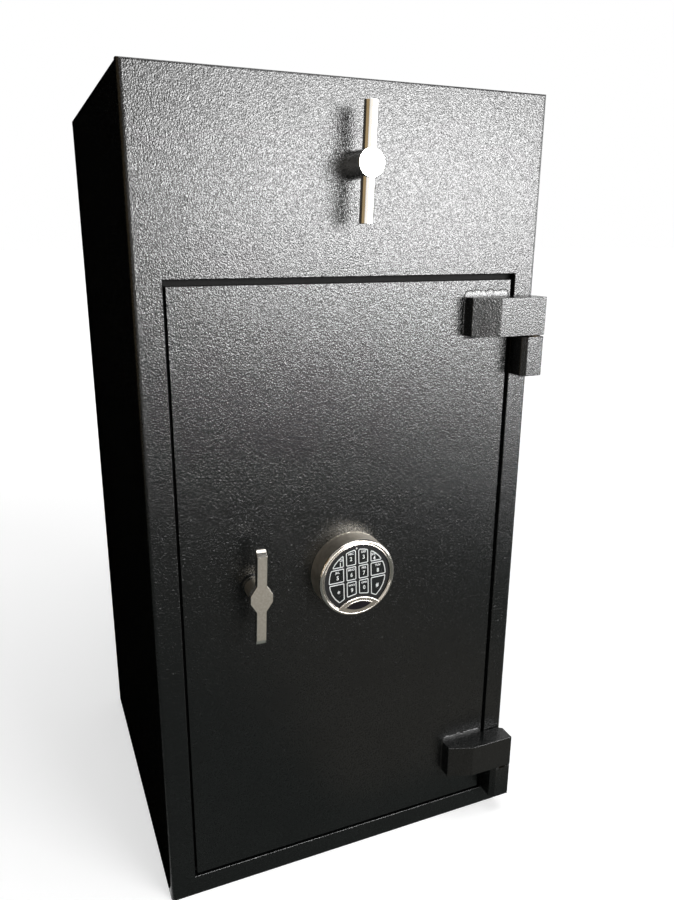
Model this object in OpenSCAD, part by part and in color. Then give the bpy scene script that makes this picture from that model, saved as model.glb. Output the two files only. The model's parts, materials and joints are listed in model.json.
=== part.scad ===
// Rotary hopper deposit safe: plate cabinet, drum hopper under the top, hinged door with boltwork.
// The origin is the centre of the footprint on the floor, +X right, +Y back, +Z up.

/* [Cabinet] */
// Width of the cabinet
body_w = 450; // [430:5:520]
// Depth of the cabinet, front face to back face
body_d = 440; // [400:5:560]
// Height of the cabinet
body_h = 900; // [860:10:1100]
// Thickness of the side panels
side_t = 5; // [3:0.5:8]
// Thickness of the back panel
back_t = 5; // [3:0.5:8]
// Thickness of the top plate
top_t = 6; // [4:0.5:10]
// Thickness of the floor plate
floor_t = 8; // [5:0.5:12]
// Thickness of the front plate and of the door leaf
front_t = 10; // [8:0.5:14]
// Rounding of the upright front edges
front_edge_r = 5; // [1:0.5:7]
// Rounding of the top front edge
top_edge_r = 2.5; // [1:0.5:6]
// Diameter of the four anchor holes in the floor plate
anchor_d = 14; // [10:1:18]
// Distance between the anchor holes across the cabinet
anchor_dx = 300; // [200:10:340]
// Distance between the anchor holes from front to back
anchor_dy = 280; // [200:10:320]

/* [Door opening] */
// Width of the front plate left of the opening
stile_left = 29; // [24:0.5:36]
// Width of the front plate right of the opening
stile_right = 26.5; // [26:0.5:36]
// Height of the front plate below the opening
sill_h = 25; // [20:0.5:36]
// Plate between the opening and the divider deck behind it
head_room = 25; // [18:0.5:40]
// Gap between the leaf and the left stile
gap_left = 2.5; // [2:0.1:4]
// Gap between the leaf and the right stile
gap_right = 5.5; // [3:0.1:6]
// Gap above the leaf
gap_top = 6; // [2:0.1:7]
// Gap below the leaf
gap_bottom = 4.5; // [2:0.1:7]
// How far the leaf stands proud of the front plate
leaf_proud = 0.4; // [0.3:0.1:1]
// Thickness of the stop bars behind the opening
stop_t = 8; // [5:0.5:10]
// Width of the stop bars
stop_w = 22; // [18:0.5:26]
// How far a stop bar reaches behind the leaf
stop_lap = 9; // [6:0.5:10]

/* [Hinges] */
// Diameter of the hinge pins
pin_d = 10; // [8:0.5:12]
// Distance of the pin axis from the right side of the cabinet
pin_in = 11.5; // [10:0.5:12]
// Distance of the pin axis in front of the front plate
pin_out = 16.5; // [16:0.5:18]
// How far the arms stand out from the front plate
arm_out = 26; // [24:0.5:27]
// Length of the arms from the right side of the cabinet
arm_len = 90; // [80:1:120]
// Length of the flat front of the arms
arm_flat = 59; // [45:1:70]
// Depth of the square shoulder at the left end of the arms
arm_shoulder = 15; // [8:0.5:20]
// Height of the arms
arm_h = 42.5; // [36:0.5:60]
// Height of the pivot blocks
block_h = 45; // [38:0.5:60]
// How far the pivot blocks stand out from the front plate
block_out = 25.5; // [23:0.5:27]
// Chamfer on the inner front edge of the pivot blocks
block_chamfer = 5.5; // [1:0.5:8]
// Distance of the upper arm's top below the top of the leaf
upper_arm_drop = 18; // [10:1:60]
// Height of the lower arm's top above the bottom of the leaf
lower_arm_rise = 86; // [80:1:140]
// Thickness of the thrust washers
washer_t = 1.4; // [1:0.1:2.5]

/* [Boltwork] */
// Number of locking bolts
bolt_count = 4; // [4:2:6]
// Distance between neighbouring locking bolts
bolt_pitch = 160; // [110:5:180]
// Diameter of the locking bolts
bolt_d = 24; // [20:0.5:26]
// Length of the locking bolts
bolt_len = 80; // [76:1:90]
// Travel of the locking bolts
bolt_throw = 25; // [18:0.5:26]
// Distance of the withdrawn bolt tips from the leaf's left edge
bolt_setback = 16.5; // [16:0.5:19]
// Length of bolt that is milled flat and sits on the carriage plate
bolt_grip = 32; // [28:0.5:32]
// Thickness of the carriage plate
carriage_t = 6; // [4:0.5:7]
// Width of the carriage plate
carriage_w = 58; // [56:1:66]
// Depth of the bolt box behind the leaf
box_d = 52; // [48:0.5:60]
// Distance of the bolt box from the leaf's left edge
box_in_left = 28.5; // [27:0.5:29]
// Distance of the bolt box from the leaf's right edge
box_in_right = 32.5; // [30:0.5:50]
// Distance of the bolt box from the leaf's top and bottom edges
box_in_ends = 31; // [20:1:50]
// Thickness of the bolt box sheet
box_t = 2; // [1.5:0.5:3]
// Thickness of the guide bar that closes the box on the bolt side
guide_t = 8; // [6:0.5:9]
// Height of each fixed dog on the hinge side
dog_h = 60; // [30:5:100]
// Distance between neighbouring dogs
dog_pitch = 240; // [150:10:280]
// Diameter of the carriage studs
stud_d = 10; // [8:0.5:11]

/* [Lever] */
// Distance of the lever axis from the leaf's left edge
lever_in = 76.2; // [75:0.1:80]
// Height of the lever and keypad axes above the middle of the leaf
lock_rise = 18.6; // [0:0.1:30]
// Length of the lever from tip to tip
lever_len = 108; // [90:1:130]
// Width of the lever arms
lever_w = 10.6; // [8:0.1:14]
// Thickness of the lever
lever_t = 8; // [6:0.5:10]
// Distance of the lever's front face from the leaf
lever_out = 34.6; // [30:0.2:44]
// Width of the eight-sided centre of the lever
lever_eye_w = 24.3; // [21:0.1:30]
// Height of the eight-sided centre of the lever
lever_eye_h = 29.5; // [26:0.5:38]
// How far the lever leans to the right, in degrees
lever_lean = 1.9; // [0:0.1:4]
// Diameter of the boss behind the lever
lever_boss_d = 20; // [18:0.5:22]
// Diameter of the lever spindle
lever_spindle_d = 12; // [10:0.5:13]
// Diameter of the rose around the lever boss
rose_d = 26; // [24:0.5:32]
// Thickness of the rose
rose_t = 2.6; // [1.5:0.1:4]
// Thickness of the cam behind the leaf
cam_t = 7; // [5:0.5:8]
// Diameter of the crank pin on the cam
crank_d = 8; // [6:0.5:9]

/* [Lock] */
// Distance between the lever axis and the keypad axis
keypad_pitch = 114.2; // [100:0.1:130]
// Width of the lock case
lock_w = 61; // [50:0.5:66]
// Height of the lock case
lock_h = 82.5; // [70:0.5:95]
// Depth of the lock case
lock_d = 29; // [25:0.5:34]
// Distance of the lock case's lower end below the keypad axis
lock_below = 23.5; // [18:0.5:30]
// Width of the lock bolt
lock_bolt_w = 18; // [14:0.5:22]
// Thickness of the lock bolt
lock_bolt_t = 8; // [6:0.5:10]
// Length of the lock bolt
lock_bolt_len = 26; // [20:0.5:34]
// Travel of the lock bolt
lock_bolt_throw = 9; // [6:0.5:10]
// Length of the lock bolt that stands out while withdrawn
lock_bolt_stub = 3; // [1:0.5:5]
// Thickness of the drill-resistant plate between the lock and the leaf
hard_t = 3; // [2:0.5:5]
// Diameter of the passage for the keypad's lead
lead_hole_d = 10; // [6:0.5:12]

/* [Keypad] */
// Diameter of the keypad's foot
keypad_d = 92; // [91:0.1:100]
// Diameter of the keypad's bright front ring
ring_d = 91; // [90:0.1:92]
// Distance of the front ring from the leaf
keypad_out = 26.6; // [24:0.2:36]
// Thickness of the keypad's foot plate
foot_t = 2.5; // [1.5:0.1:4]
// Diameter of the recessed key field
field_d = 79.4; // [78:0.1:80]
// Diameter that the outermost keys reach
key_reach_d = 69.6; // [66:0.1:73]
// Radius of the crescent's arched upper edge
crescent_r = 37; // [32:0.5:44]
// Distance of the arch's peak below the keypad axis
crescent_drop = 23.4; // [22:0.1:26]
// Space between the arch and the lowest keys
crescent_margin = 3.7; // [1:0.1:4]
// Width of an inner key
key_w = 12; // [11:0.1:14]
// Height of a key in the middle row
key_h = 16.3; // [15:0.1:18]
// Gap between neighbouring keys across
key_gap_x = 2.8; // [1.2:0.1:3]
// Gap between neighbouring keys up and down
key_gap_z = 1.5; // [1.2:0.1:3]
// Height of the middle row above the keypad axis
keys_rise = 6.6; // [3:0.1:7]
// How far the keypad is turned to the left, in degrees
keypad_lean = 2; // [0:0.1:4]
// Travel of a key
key_travel = 0.8; // [0.5:0.1:1]
// How far a key stands proud of the face
key_proud = 0.9; // [0.8:0.1:1.5]
// Depth of the face behind the front ring
face_drop = 2.4; // [1.5:0.1:3.5]
// Thickness of the keypad face
face_t = 4.2; // [3.5:0.1:6]
// Width of the badge plate
badge_w = 31.3; // [20:0.1:33]
// Height of the badge plate
badge_h = 9.4; // [5:0.1:10]
// Distance of the badge plate below the keypad axis
badge_drop = 33.2; // [33:0.1:35]
// Diameter of the indicator light
led_d = 2.4; // [2:0.1:3]
// Height of the indicator light above the keypad axis
led_rise = 35.3; // [33:0.1:36]

/* [Hopper] */
// Outer radius of the drum
drum_r = 70; // [62:0.5:74]
// Wall of the drum
drum_wall = 3; // [2:0.5:4]
// Length of the drum
drum_len = 300; // [240:5:320]
// Thickness of the drum ends
drum_end_t = 5; // [4:0.5:8]
// Gap between the drum and the top plate
drum_top_gap = 3.5; // [2.5:0.1:8]
// Space between the front plate and the drum
drum_nose = 14; // [13:0.5:24]
// Space between the drum and the rear bearing plate
drum_tail = 10; // [8:0.5:20]
// Full angle of the drum's pocket
pocket_angle = 84; // [70:1:90]
// Closed length of the drum at each end of the pocket
pocket_margin = 10; // [6:1:30]
// Width of the loading mouth and of the exit slot
mouth_w = 92; // [80:1:96]
// How much shorter the mouth is than the pocket at each end
mouth_margin = 3; // [1:0.5:10]
// Corner radius of the loading mouth
mouth_r = 5; // [2:0.5:10]
// Gap between the drum and the housing cheeks
cheek_gap = 1.5; // [1:0.1:3]
// Thickness of the housing cheeks
cheek_t = 3; // [2:0.5:4]
// Gap between the drum and the divider deck
deck_gap = 8.5; // [6:0.5:14]
// Thickness of the divider deck
deck_t = 4; // [3:0.5:6]
// Thickness of the rear bearing plate
bearing_t = 8; // [5:0.5:12]
// Diameter of the drum spindle
spindle_d = 16; // [13:0.5:18]
// Wall of the bushes
bush_wall = 3; // [2:0.5:4]
// Diameter of the handle's hub
hub_d = 27.6; // [25:0.1:34]
// Distance of the hub's face from the front plate
hub_out = 38; // [34:0.5:50]
// Diameter of the handle's cross bar
bar_d = 14; // [10:0.5:14]
// Length of the cross bar
bar_len = 112; // [90:1:140]
// How far the cross bar leans to the right, in degrees
handle_lean = 2; // [0:0.1:5]
// Distance of the cross bar's axis behind the hub's face
bar_setback = 8; // [7.5:0.1:10]
// Distance of the drum's stop lug from its axis
lug_r = 45; // [36:0.5:52]
// Diameter of the stop lug
lug_d = 10; // [8:0.5:12]
// Reach of the anti-fishing teeth into the exit slot
tooth_reach = 8; // [4:0.5:12]
// Spacing of the anti-fishing teeth
tooth_pitch = 12; // [8:1:20]
// Thickness of the combs and of the deflector baffle
baffle_t = 3; // [2:0.5:5]
// Slope of the deflector baffle
baffle_angle = 26; // [15:1:32]
// Length of the deflector baffle down its slope
baffle_len = 310; // [220:5:330]

/* [Hidden] */
$fn = 96;

// Colours
paint = [0.06, 0.06, 0.065];
chrome = [0.78, 0.78, 0.8];
nickel = [0.66, 0.64, 0.6];
zinc = [0.6, 0.61, 0.62];
steel = [0.45, 0.46, 0.48];
bronze = [0.62, 0.47, 0.25];
black_plastic = [0.04, 0.04, 0.045];
light_plastic = [0.55, 0.08, 0.06];

// Clearances shared by the pieces
cut = 1;
press = 0.02;
run = 0.05;
slip = 0.3;

// The cabinet. All depths below are measured back from the front face
front_y = -body_d / 2;
side_x = body_w / 2;
inner_x = side_x - side_t;
inner_back = body_d - back_t;
ceiling_z = body_h - top_t;

// The hopper's heights and depths
drum_z = ceiling_z - drum_top_gap - drum_r;
deck_top = drum_z - drum_r - deck_gap;
deck_z = deck_top - deck_t;
drum_y0 = front_t + drum_nose;
drum_y1 = drum_y0 + drum_len;
pocket_y0 = drum_y0 + drum_end_t + pocket_margin;
pocket_y1 = drum_y1 - drum_end_t - pocket_margin;
bearing_y = drum_y1 + drum_tail;
cheek_r = drum_r + cheek_gap;
mouth_x = mouth_w / 2;
cheek_end = sqrt(cheek_r * cheek_r - mouth_x * mouth_x);
bush_d = spindle_d + 2 * bush_wall;
bush_flange_w = 4;
bush_flange_d = bush_d + 2 * bush_flange_w;
bush_flange_t = 3;
spindle_tip = bar_setback + bar_d / 2 + 3 - hub_out;
hub_gap = 0.5;
stub_past = 6;
flange_w = 12;
flange_d = spindle_d + 2 * flange_w;
flange_t = 5;
boss_w = 7;
stub_boss_d = spindle_d + 2 * boss_w;
lug_len = 8;
lug_stop_w = 20;
lug_stop_h = 12;
lug_stop_t = drum_nose - lug_len + 4;

// The door opening and the leaf
open_l = -side_x + stile_left;
open_r = side_x - stile_right;
open_b = sill_h;
open_t = deck_z - head_room;
leaf_l = open_l + gap_left;
leaf_r = open_r - gap_right;
leaf_b = open_b + gap_bottom;
leaf_t = open_t - gap_top;
leaf_back = front_t - leaf_proud;
leaf_mid = (leaf_b + leaf_t) / 2;
stop_back = front_t + stop_t;

// The hinges
pin_x = side_x - pin_in;
block_l = side_x - stile_right;
arm_end_gap = 0.9;
arm_end_r = pin_out - arm_end_gap;
arm_l = side_x - arm_len;
arm_flat_l = side_x - arm_flat;
upper_arm_z = leaf_t - upper_arm_drop - arm_h;
lower_arm_z = leaf_b + lower_arm_rise - arm_h;
pin_in_block = 34;
pin_in_arm = 28;
washer_d = 2 * pin_in - 2;
block_gap = washer_t + 0.1;

// The boltwork
bolt_y = stop_back + 2 + bolt_d / 2;
bolt_flat = 4;
carriage_y1 = bolt_y - bolt_flat;
carriage_y0 = carriage_y1 - carriage_t;
bolt_tip = leaf_l + bolt_setback;
carriage_l = bolt_tip + bolt_len - bolt_grip;
carriage_r = carriage_l + carriage_w;
bolt_span = (bolt_count - 1) * bolt_pitch;
bolt_zs = [for (i = [0 : bolt_count - 1]) leaf_mid - bolt_span / 2 + i * bolt_pitch];
carriage_b = bolt_zs[0] - bolt_d - 4;
carriage_t_z = bolt_zs[bolt_count - 1] + bolt_d + 4;
stud_in = 14;
stud_x = carriage_l + stud_d / 2 + stud_in;
stud_collar_d = stud_d + 6;
stud_cap_d = stud_d + 8;
stud_cap_t = 4;
stud_zs = [for (z = [bolt_zs[0], bolt_zs[bolt_count - 2]]) for (k = [0.25, 0.75]) z + k * bolt_pitch];
box_l = leaf_l + box_in_left;
box_r = leaf_r - box_in_right;
box_b = leaf_b + box_in_ends;
box_top = leaf_t - box_in_ends;
box_back = leaf_back + box_d;
post_w = 12;
post_d = 12;
screw_d = 4.9;
screw_head_d = 9;
screw_head_t = 2.2;
screw_len = 10;
post_xs = [box_l + guide_t + post_w / 2, box_r - box_t - post_w / 2];
post_zs = [box_b + box_t + post_w / 2, leaf_mid, box_top - box_t - post_w / 2];
dog_y0 = stop_back + 9;
dog_t = 10;
dog_foot_l = box_r + 3;
dog_foot_w = 12;
dog_tip = leaf_r + 2.5;

// The lever, the lock and their axes
lever_x = leaf_l + lever_in;
lock_x = lever_x + keypad_pitch;
lock_z = leaf_mid + lock_rise;
crank_off = bolt_throw / 2;
crank_far = bolt_throw * sqrt(2) / 2;
crank_slot_w = crank_d + 2;
cam_y0 = leaf_back + 1.4;
cam_hub_w = 7;
cam_hub_d = lever_spindle_d + 2 * cam_hub_w;
cam_end_d = crank_d + 8;
cam_arm_w = crank_d + 5;
lock_y0 = leaf_back + hard_t;
lock_bottom = lock_z - lock_below;
lock_bolt_y = (carriage_y0 + carriage_y1) / 2;
lock_bolt_z = lock_bottom - lock_bolt_stub;
hard_margin = 5;
// The carriage's tongue slopes so that the lock bolt follows it at a steady rate
tongue_z = lock_bolt_z - 0.4;
tongue_slope = lock_bolt_throw / bolt_throw;
tongue_knee = lock_x - lock_bolt_w / 2;
tongue_end = tongue_knee + bolt_throw + 3;
tongue_h = 26;

// The keypad. Distances out are measured from the leaf's front face
web_t = 3;
face_out = keypad_out - face_drop;
web_out = face_out - face_t;
key_back = 1.2;
key_len = face_t + key_proud - key_back;
crescent_z = -crescent_drop - crescent_r;
ring_round = 3;
ring_lip = 1.4;
land_drop = 0.6;
land_out = keypad_out - land_drop;
badge_r = (badge_w * badge_w / 4 + badge_h * badge_h / 4) / badge_h;
badge_t = 1;
badge_proud = 0.3;
led_proud = 0.4;
led_margin = 1;
KEYS = ["key_1", "key_2", "key_3", "key_4", "key_5", "key_6", "key_7", "key_8", "key_star",
    "key_9", "key_0", "key_hash"];

// Everything that is drawn with depths measured back from the front face
module at_front() {
    translate([0, front_y, 0]) children();
}

// A box between two corners
module slab(lo, hi) {
    translate(lo) cube(hi - lo);
}

// A rectangle between two corners
module pane(lo, hi) {
    translate(lo) square(hi - lo);
}

// A rectangle between two corners, with round corners
module round_pane(lo, hi, r) {
    pane(lo + [r, 0], hi - [r, 0]);
    pane(lo + [0, r], hi - [0, r]);
    for (x = [lo[0] + r, hi[0] - r]) {
        for (y = [lo[1] + r, hi[1] - r]) {
            translate([x, y]) circle(r = r);
        }
    }
}

// A flat shape drawn in X and Z, standing upright with its thickness going back
module upright(y, t) {
    translate([0, y + t, 0]) rotate([90, 0, 0]) linear_extrude(t) children();
}

// Round bars along the three directions
module bar_x(d, x0, x1, y, z) {
    translate([x0, y, z]) rotate([0, 90, 0]) cylinder(d = d, h = x1 - x0);
}

module bar_y(d, y0, y1, x, z) {
    translate([x, y1, z]) rotate([90, 0, 0]) cylinder(d = d, h = y1 - y0);
}

module bar_z(d, x, y, z0, z1) {
    translate([x, y, z0]) cylinder(d = d, h = z1 - z0);
}

// A turned piece facing forward, drawn as radius and distance out from depth y
module turned(x, y, z) {
    translate([x, y, z]) rotate([90, 0, 0]) rotate_extrude() children();
}

// The front plate's plan, with its upright edges rounded
module front_plan() {
    pane([-side_x, front_edge_r], [side_x, front_t]);
    pane([-side_x + front_edge_r, 0], [side_x - front_edge_r, front_t]);
    for (s = [-1, 1]) {
        translate([s * (side_x - front_edge_r), front_edge_r]) circle(r = front_edge_r);
    }
}

// The front plate's side view, with its top edge rounded
module front_profile() {
    pane([0, 0], [front_t, body_h - top_edge_r]);
    pane([top_edge_r, 0], [front_t, body_h]);
    translate([top_edge_r, body_h - top_edge_r]) circle(r = top_edge_r);
}

module front_frame() {
    color(paint) at_front() difference() {
        intersection() {
            linear_extrude(body_h) front_plan();
            translate([-side_x, 0, 0]) rotate([90, 0, 90]) linear_extrude(body_w) front_profile();
        }
        slab([open_l, -cut, open_b], [open_r, front_t + cut, open_t]);
        bar_y(bush_d + 2 * press, -cut, front_t + cut, 0, drum_z);
    }
}

module left_side_panel() {
    color(paint) at_front() slab([-side_x, front_t, 0], [-inner_x, body_d, ceiling_z]);
}

module right_side_panel() {
    color(paint) at_front() slab([inner_x, front_t, 0], [side_x, body_d, ceiling_z]);
}

module back_panel() {
    color(paint) at_front() slab([-inner_x, inner_back, 0], [inner_x, body_d, ceiling_z]);
}

module floor_plate() {
    color(paint) at_front() difference() {
        slab([-inner_x, front_t, 0], [inner_x, inner_back, floor_t]);
        for (x = [-anchor_dx / 2, anchor_dx / 2]) {
            for (y = [-anchor_dy / 2, anchor_dy / 2]) {
                bar_z(anchor_d, x, body_d / 2 + y, -cut, floor_t + cut);
            }
        }
    }
}

module top_plate() {
    color(paint) at_front() difference() {
        slab([-side_x, front_t, ceiling_z], [side_x, body_d, body_h]);
        translate([0, 0, ceiling_z - cut]) linear_extrude(top_t + 2 * cut) {
            round_pane([-mouth_x, pocket_y0 + mouth_margin], [mouth_x, pocket_y1 - mouth_margin], mouth_r);
        }
    }
}

// Section of the right-hand housing cheek about the drum's axis: an arc with a strip at each end
module cheek_section() {
    intersection() {
        difference() {
            circle(r = cheek_r + cheek_t);
            circle(r = cheek_r);
        }
        pane([mouth_x, -cheek_r], [cheek_r + cheek_t + cut, cheek_r]);
    }
    pane([mouth_x, cheek_end], [mouth_x + cheek_t, ceiling_z - drum_z]);
    pane([mouth_x, deck_top - drum_z], [mouth_x + cheek_t, -cheek_end]);
}

module hopper_cheek(side) {
    color(paint) at_front() translate([0, 0, drum_z]) upright(front_t, bearing_y - front_t) {
        mirror([side < 0 ? 1 : 0, 0]) cheek_section();
    }
}

module rear_bearing_plate() {
    color(paint) at_front() difference() {
        slab([-inner_x, bearing_y, deck_top], [inner_x, bearing_y + bearing_t, ceiling_z]);
        bar_y(bush_d + 2 * press, bearing_y - cut, bearing_y + bearing_t + cut, 0, drum_z);
    }
}

// A flanged bush: the sleeve between two depths, the flange beside it
module bush(sleeve_y0, sleeve_y1, flange_y0) {
    difference() {
        union() {
            bar_y(bush_d, sleeve_y0, sleeve_y1, 0, drum_z);
            bar_y(bush_flange_d, flange_y0, flange_y0 + bush_flange_t, 0, drum_z);
        }
        bar_y(spindle_d + 2 * run, -cut, body_d, 0, drum_z);
    }
}

module drum_bushes() {
    color(bronze) at_front() {
        bush(slip, front_t, front_t);
        bush(bearing_y, bearing_y + bearing_t, bearing_y - bush_flange_t);
    }
}

// Two blocks under the lug's ends of travel
module drum_stops() {
    color(steel) at_front() for (s = [-1, 1]) {
        translate([s * lug_r - lug_stop_w / 2, front_t, drum_z - lug_d / 2 - slip - lug_stop_h]) {
            cube([lug_stop_w, lug_stop_t, lug_stop_h]);
        }
    }
}

module divider_deck() {
    color(paint) at_front() difference() {
        slab([-inner_x, front_t, deck_z], [inner_x, inner_back, deck_top]);
        slab([-mouth_x, pocket_y0, deck_z - cut], [mouth_x, pocket_y1, deck_top + cut]);
    }
}

// One toothed strip in plan, its teeth pointing across the exit slot
module comb_plan() {
    strip_w = 14;
    teeth = floor((pocket_y1 - pocket_y0) / tooth_pitch);
    edge = [for (i = [0 : teeth - 1]) each [
        [mouth_x, pocket_y0 + i * tooth_pitch],
        [mouth_x - tooth_reach, pocket_y0 + (i + 0.5) * tooth_pitch]
    ]];
    polygon(concat(edge, [
        [mouth_x, pocket_y1],
        [mouth_x + strip_w, pocket_y1],
        [mouth_x + strip_w, pocket_y0]
    ]));
}

module anti_fish_combs() {
    color(steel) at_front() translate([0, 0, deck_z - baffle_t]) linear_extrude(baffle_t) {
        comb_plan();
        mirror([1, 0]) comb_plan();
    }
}

module deflector_baffle() {
    rear_drop = 20;
    color(paint) at_front() {
        translate([-inner_x, inner_back - baffle_t * sin(baffle_angle), deck_z - rear_drop]) {
            rotate([baffle_angle, 0, 0]) translate([0, -baffle_len, -baffle_t]) {
                cube([2 * inner_x, baffle_len, baffle_t]);
            }
        }
    }
}

module door_stops() {
    in_l = leaf_l + stop_lap;
    in_r = leaf_r - stop_lap;
    in_b = leaf_b + stop_lap;
    in_t = leaf_t - stop_lap;
    color(paint) at_front() upright(front_t, stop_t) {
        pane([in_l - stop_w, in_b - stop_w], [in_l, in_t + stop_w]);
        pane([in_r, in_b - stop_w], [in_r + stop_w, in_t + stop_w]);
    }
    color(paint) at_front() upright(front_t, stop_t) {
        pane([in_l, in_b - stop_w], [in_r, in_b]);
        pane([in_l, in_t], [in_r, in_t + stop_w]);
    }
}

// A pivot block welded on the right stile, drilled from above for its pin
module hinge_block(top) {
    color(paint) at_front() difference() {
        translate([0, 0, top - block_h]) linear_extrude(block_h) polygon([
            [block_l, 0],
            [block_l, block_chamfer - block_out],
            [block_l + block_chamfer, -block_out],
            [side_x, -block_out],
            [side_x, 0]
        ]);
        bar_z(pin_d + 2 * press, pin_x, -pin_out, top - pin_in_block, top + cut);
    }
}

// An arm in plan: shoulder, long chamfer, flat front, and an end rounded about the pin at the back
module arm_plan() {
    polygon([
        [arm_l, -leaf_proud],
        [arm_l, -arm_shoulder],
        [arm_flat_l, -arm_out],
        [pin_x, -arm_out],
        [pin_x, -arm_end_gap],
        [leaf_r, -arm_end_gap],
        [leaf_r, -leaf_proud]
    ]);
    intersection() {
        translate([pin_x, -pin_out]) circle(r = arm_end_r);
        pane([pin_x - cut, -arm_out], [side_x, 0]);
    }
}

// An arm welded on the leaf, bored from below for its pin
module hinge_arm(z) {
    color(paint) at_front() difference() {
        translate([0, 0, z]) linear_extrude(arm_h) arm_plan();
        bar_z(pin_d + 2 * run, pin_x, -pin_out, z - cut, z + pin_in_arm + 2);
    }
}

module hinge_pins() {
    color(steel) at_front() for (z = [upper_arm_z, lower_arm_z]) {
        bar_z(pin_d, pin_x, -pin_out, z - block_gap - pin_in_block, z + pin_in_arm);
    }
}

module thrust_washers() {
    color(bronze) at_front() for (z = [upper_arm_z, lower_arm_z]) difference() {
        bar_z(washer_d, pin_x, -pin_out, z - block_gap, z - block_gap + washer_t);
        bar_z(pin_d + 2 * run, pin_x, -pin_out, z - block_gap - cut, z + cut);
    }
}

// The drum's tube with its pocket, which faces down at rest
module drum_shell() {
    reach = 2 * drum_r;
    half = pocket_angle / 2;
    color(zinc) at_front() difference() {
        bar_y(2 * drum_r, drum_y0 + drum_end_t, drum_y1 - drum_end_t, 0, drum_z);
        bar_y(2 * (drum_r - drum_wall), drum_y0, drum_y1, 0, drum_z);
        translate([0, 0, drum_z]) upright(pocket_y0, pocket_y1 - pocket_y0) polygon([
            [0, 0],
            [-reach * sin(half), -reach * cos(half)],
            [reach * sin(half), -reach * cos(half)]
        ]);
    }
}

// The front end carries the stop lug
module drum_end_front() {
    color(zinc) at_front() {
        bar_y(2 * drum_r, drum_y0, drum_y0 + drum_end_t, 0, drum_z);
        bar_y(lug_d, drum_y0 - lug_len, drum_y0 + cut, lug_r, drum_z);
    }
}

// The rear end carries the boss and the stub that turns in the rear bush
module drum_end_rear() {
    boss_end = bearing_y - bush_flange_t - slip;
    color(zinc) at_front() {
        bar_y(2 * drum_r, drum_y1 - drum_end_t, drum_y1, 0, drum_z);
        bar_y(stub_boss_d, drum_y1 - cut, boss_end, 0, drum_z);
        bar_y(spindle_d, drum_y1 - cut, bearing_y + bearing_t + stub_past, 0, drum_z);
    }
}

// The spindle between the hub and the drum, with its welding flange
module drum_spindle() {
    color(steel) at_front() {
        bar_y(spindle_d, spindle_tip, drum_y0, 0, drum_z);
        bar_y(flange_d, drum_y0 - flange_t, drum_y0, 0, drum_z);
    }
}

// A round bar through the hub, leaning to the right
module cross_bar(d, length) {
    translate([0, bar_setback - hub_out, drum_z]) rotate([0, handle_lean, 0]) {
        bar_z(d, 0, 0, -length / 2, length / 2);
    }
}

module handle_hub() {
    bevel = 0.8;
    r = hub_d / 2;
    color(chrome) at_front() difference() {
        turned(0, 0, drum_z) polygon([
            [0, hub_gap],
            [r, hub_gap],
            [r, hub_out - bevel],
            [r - bevel, hub_out],
            [0, hub_out]
        ]);
        bar_y(spindle_d + 2 * press, spindle_tip, 0, 0, drum_z);
        cross_bar(bar_d + 2 * press, 2 * hub_d);
    }
}

module handle_bar() {
    color(chrome) at_front() cross_bar(bar_d, bar_len);
}

module door_leaf() {
    color(paint) at_front() difference() {
        slab([leaf_l, -leaf_proud, leaf_b], [leaf_r, leaf_back, leaf_t]);
        bar_y(lever_spindle_d + 4 + 2 * press, -cut, front_t + cut, lever_x, lock_z);
        bar_y(lead_hole_d, -cut, front_t + cut, lock_x, lock_z);
    }
}

// The welded box around the boltwork: sheet walls, a thick guide bar on the bolt side, cover posts
module bolt_box() {
    color(paint) at_front() difference() {
        union() {
            upright(leaf_back, box_d) difference() {
                pane([box_l, box_b], [box_r, box_top]);
                pane([box_l + guide_t, box_b + box_t], [box_r - box_t, box_top - box_t]);
            }
            for (x = post_xs) {
                for (z = post_zs) {
                    translate([x - post_w / 2, box_back - post_d, z - post_w / 2]) {
                        cube([post_w, post_d, post_w]);
                    }
                }
            }
        }
        for (z = bolt_zs) {
            bar_x(bolt_d + 2 * slip, box_l - cut, box_l + guide_t + cut, bolt_y, z);
        }
        for (x = post_xs) {
            for (z = post_zs) {
                bar_y(screw_d + 2 * press, box_back - screw_len, box_back + cut, x, z);
            }
        }
    }
}

module bolt_box_cover() {
    color(paint) at_front() difference() {
        upright(box_back, box_t) pane([box_l, box_b], [box_r, box_top]);
        for (x = post_xs) {
            for (z = post_zs) {
                bar_y(screw_d + 2 * press, box_back - cut, box_back + box_t + cut, x, z);
            }
        }
    }
}

module cover_screws() {
    color(zinc) at_front() for (x = post_xs) {
        for (z = post_zs) {
            bar_y(screw_d, box_back - screw_len + 1, box_back + box_t + cut, x, z);
            bar_y(screw_head_d, box_back + box_t, box_back + box_t + screw_head_t, x, z);
        }
    }
}

// Hooks on the hinge side that reach behind the stop bar while the door is shut
module hinge_side_dogs() {
    color(zinc) at_front() for (k = [-1, 0, 1]) {
        translate([0, 0, leaf_mid + k * dog_pitch - dog_h / 2]) linear_extrude(dog_h) {
            pane([dog_foot_l, leaf_back], [dog_foot_l + dog_foot_w, dog_y0 + dog_t]);
            pane([dog_foot_l, dog_y0], [dog_tip, dog_y0 + dog_t]);
        }
    }
}

module hard_plate() {
    half = lock_w / 2 + hard_margin;
    color(steel) at_front() difference() {
        slab([lock_x - half, leaf_back, lock_bottom - hard_margin],
            [lock_x + half, lock_y0, lock_bottom + lock_h + hard_margin]);
        bar_y(lead_hole_d, leaf_back - cut, lock_y0 + cut, lock_x, lock_z);
    }
}

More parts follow.
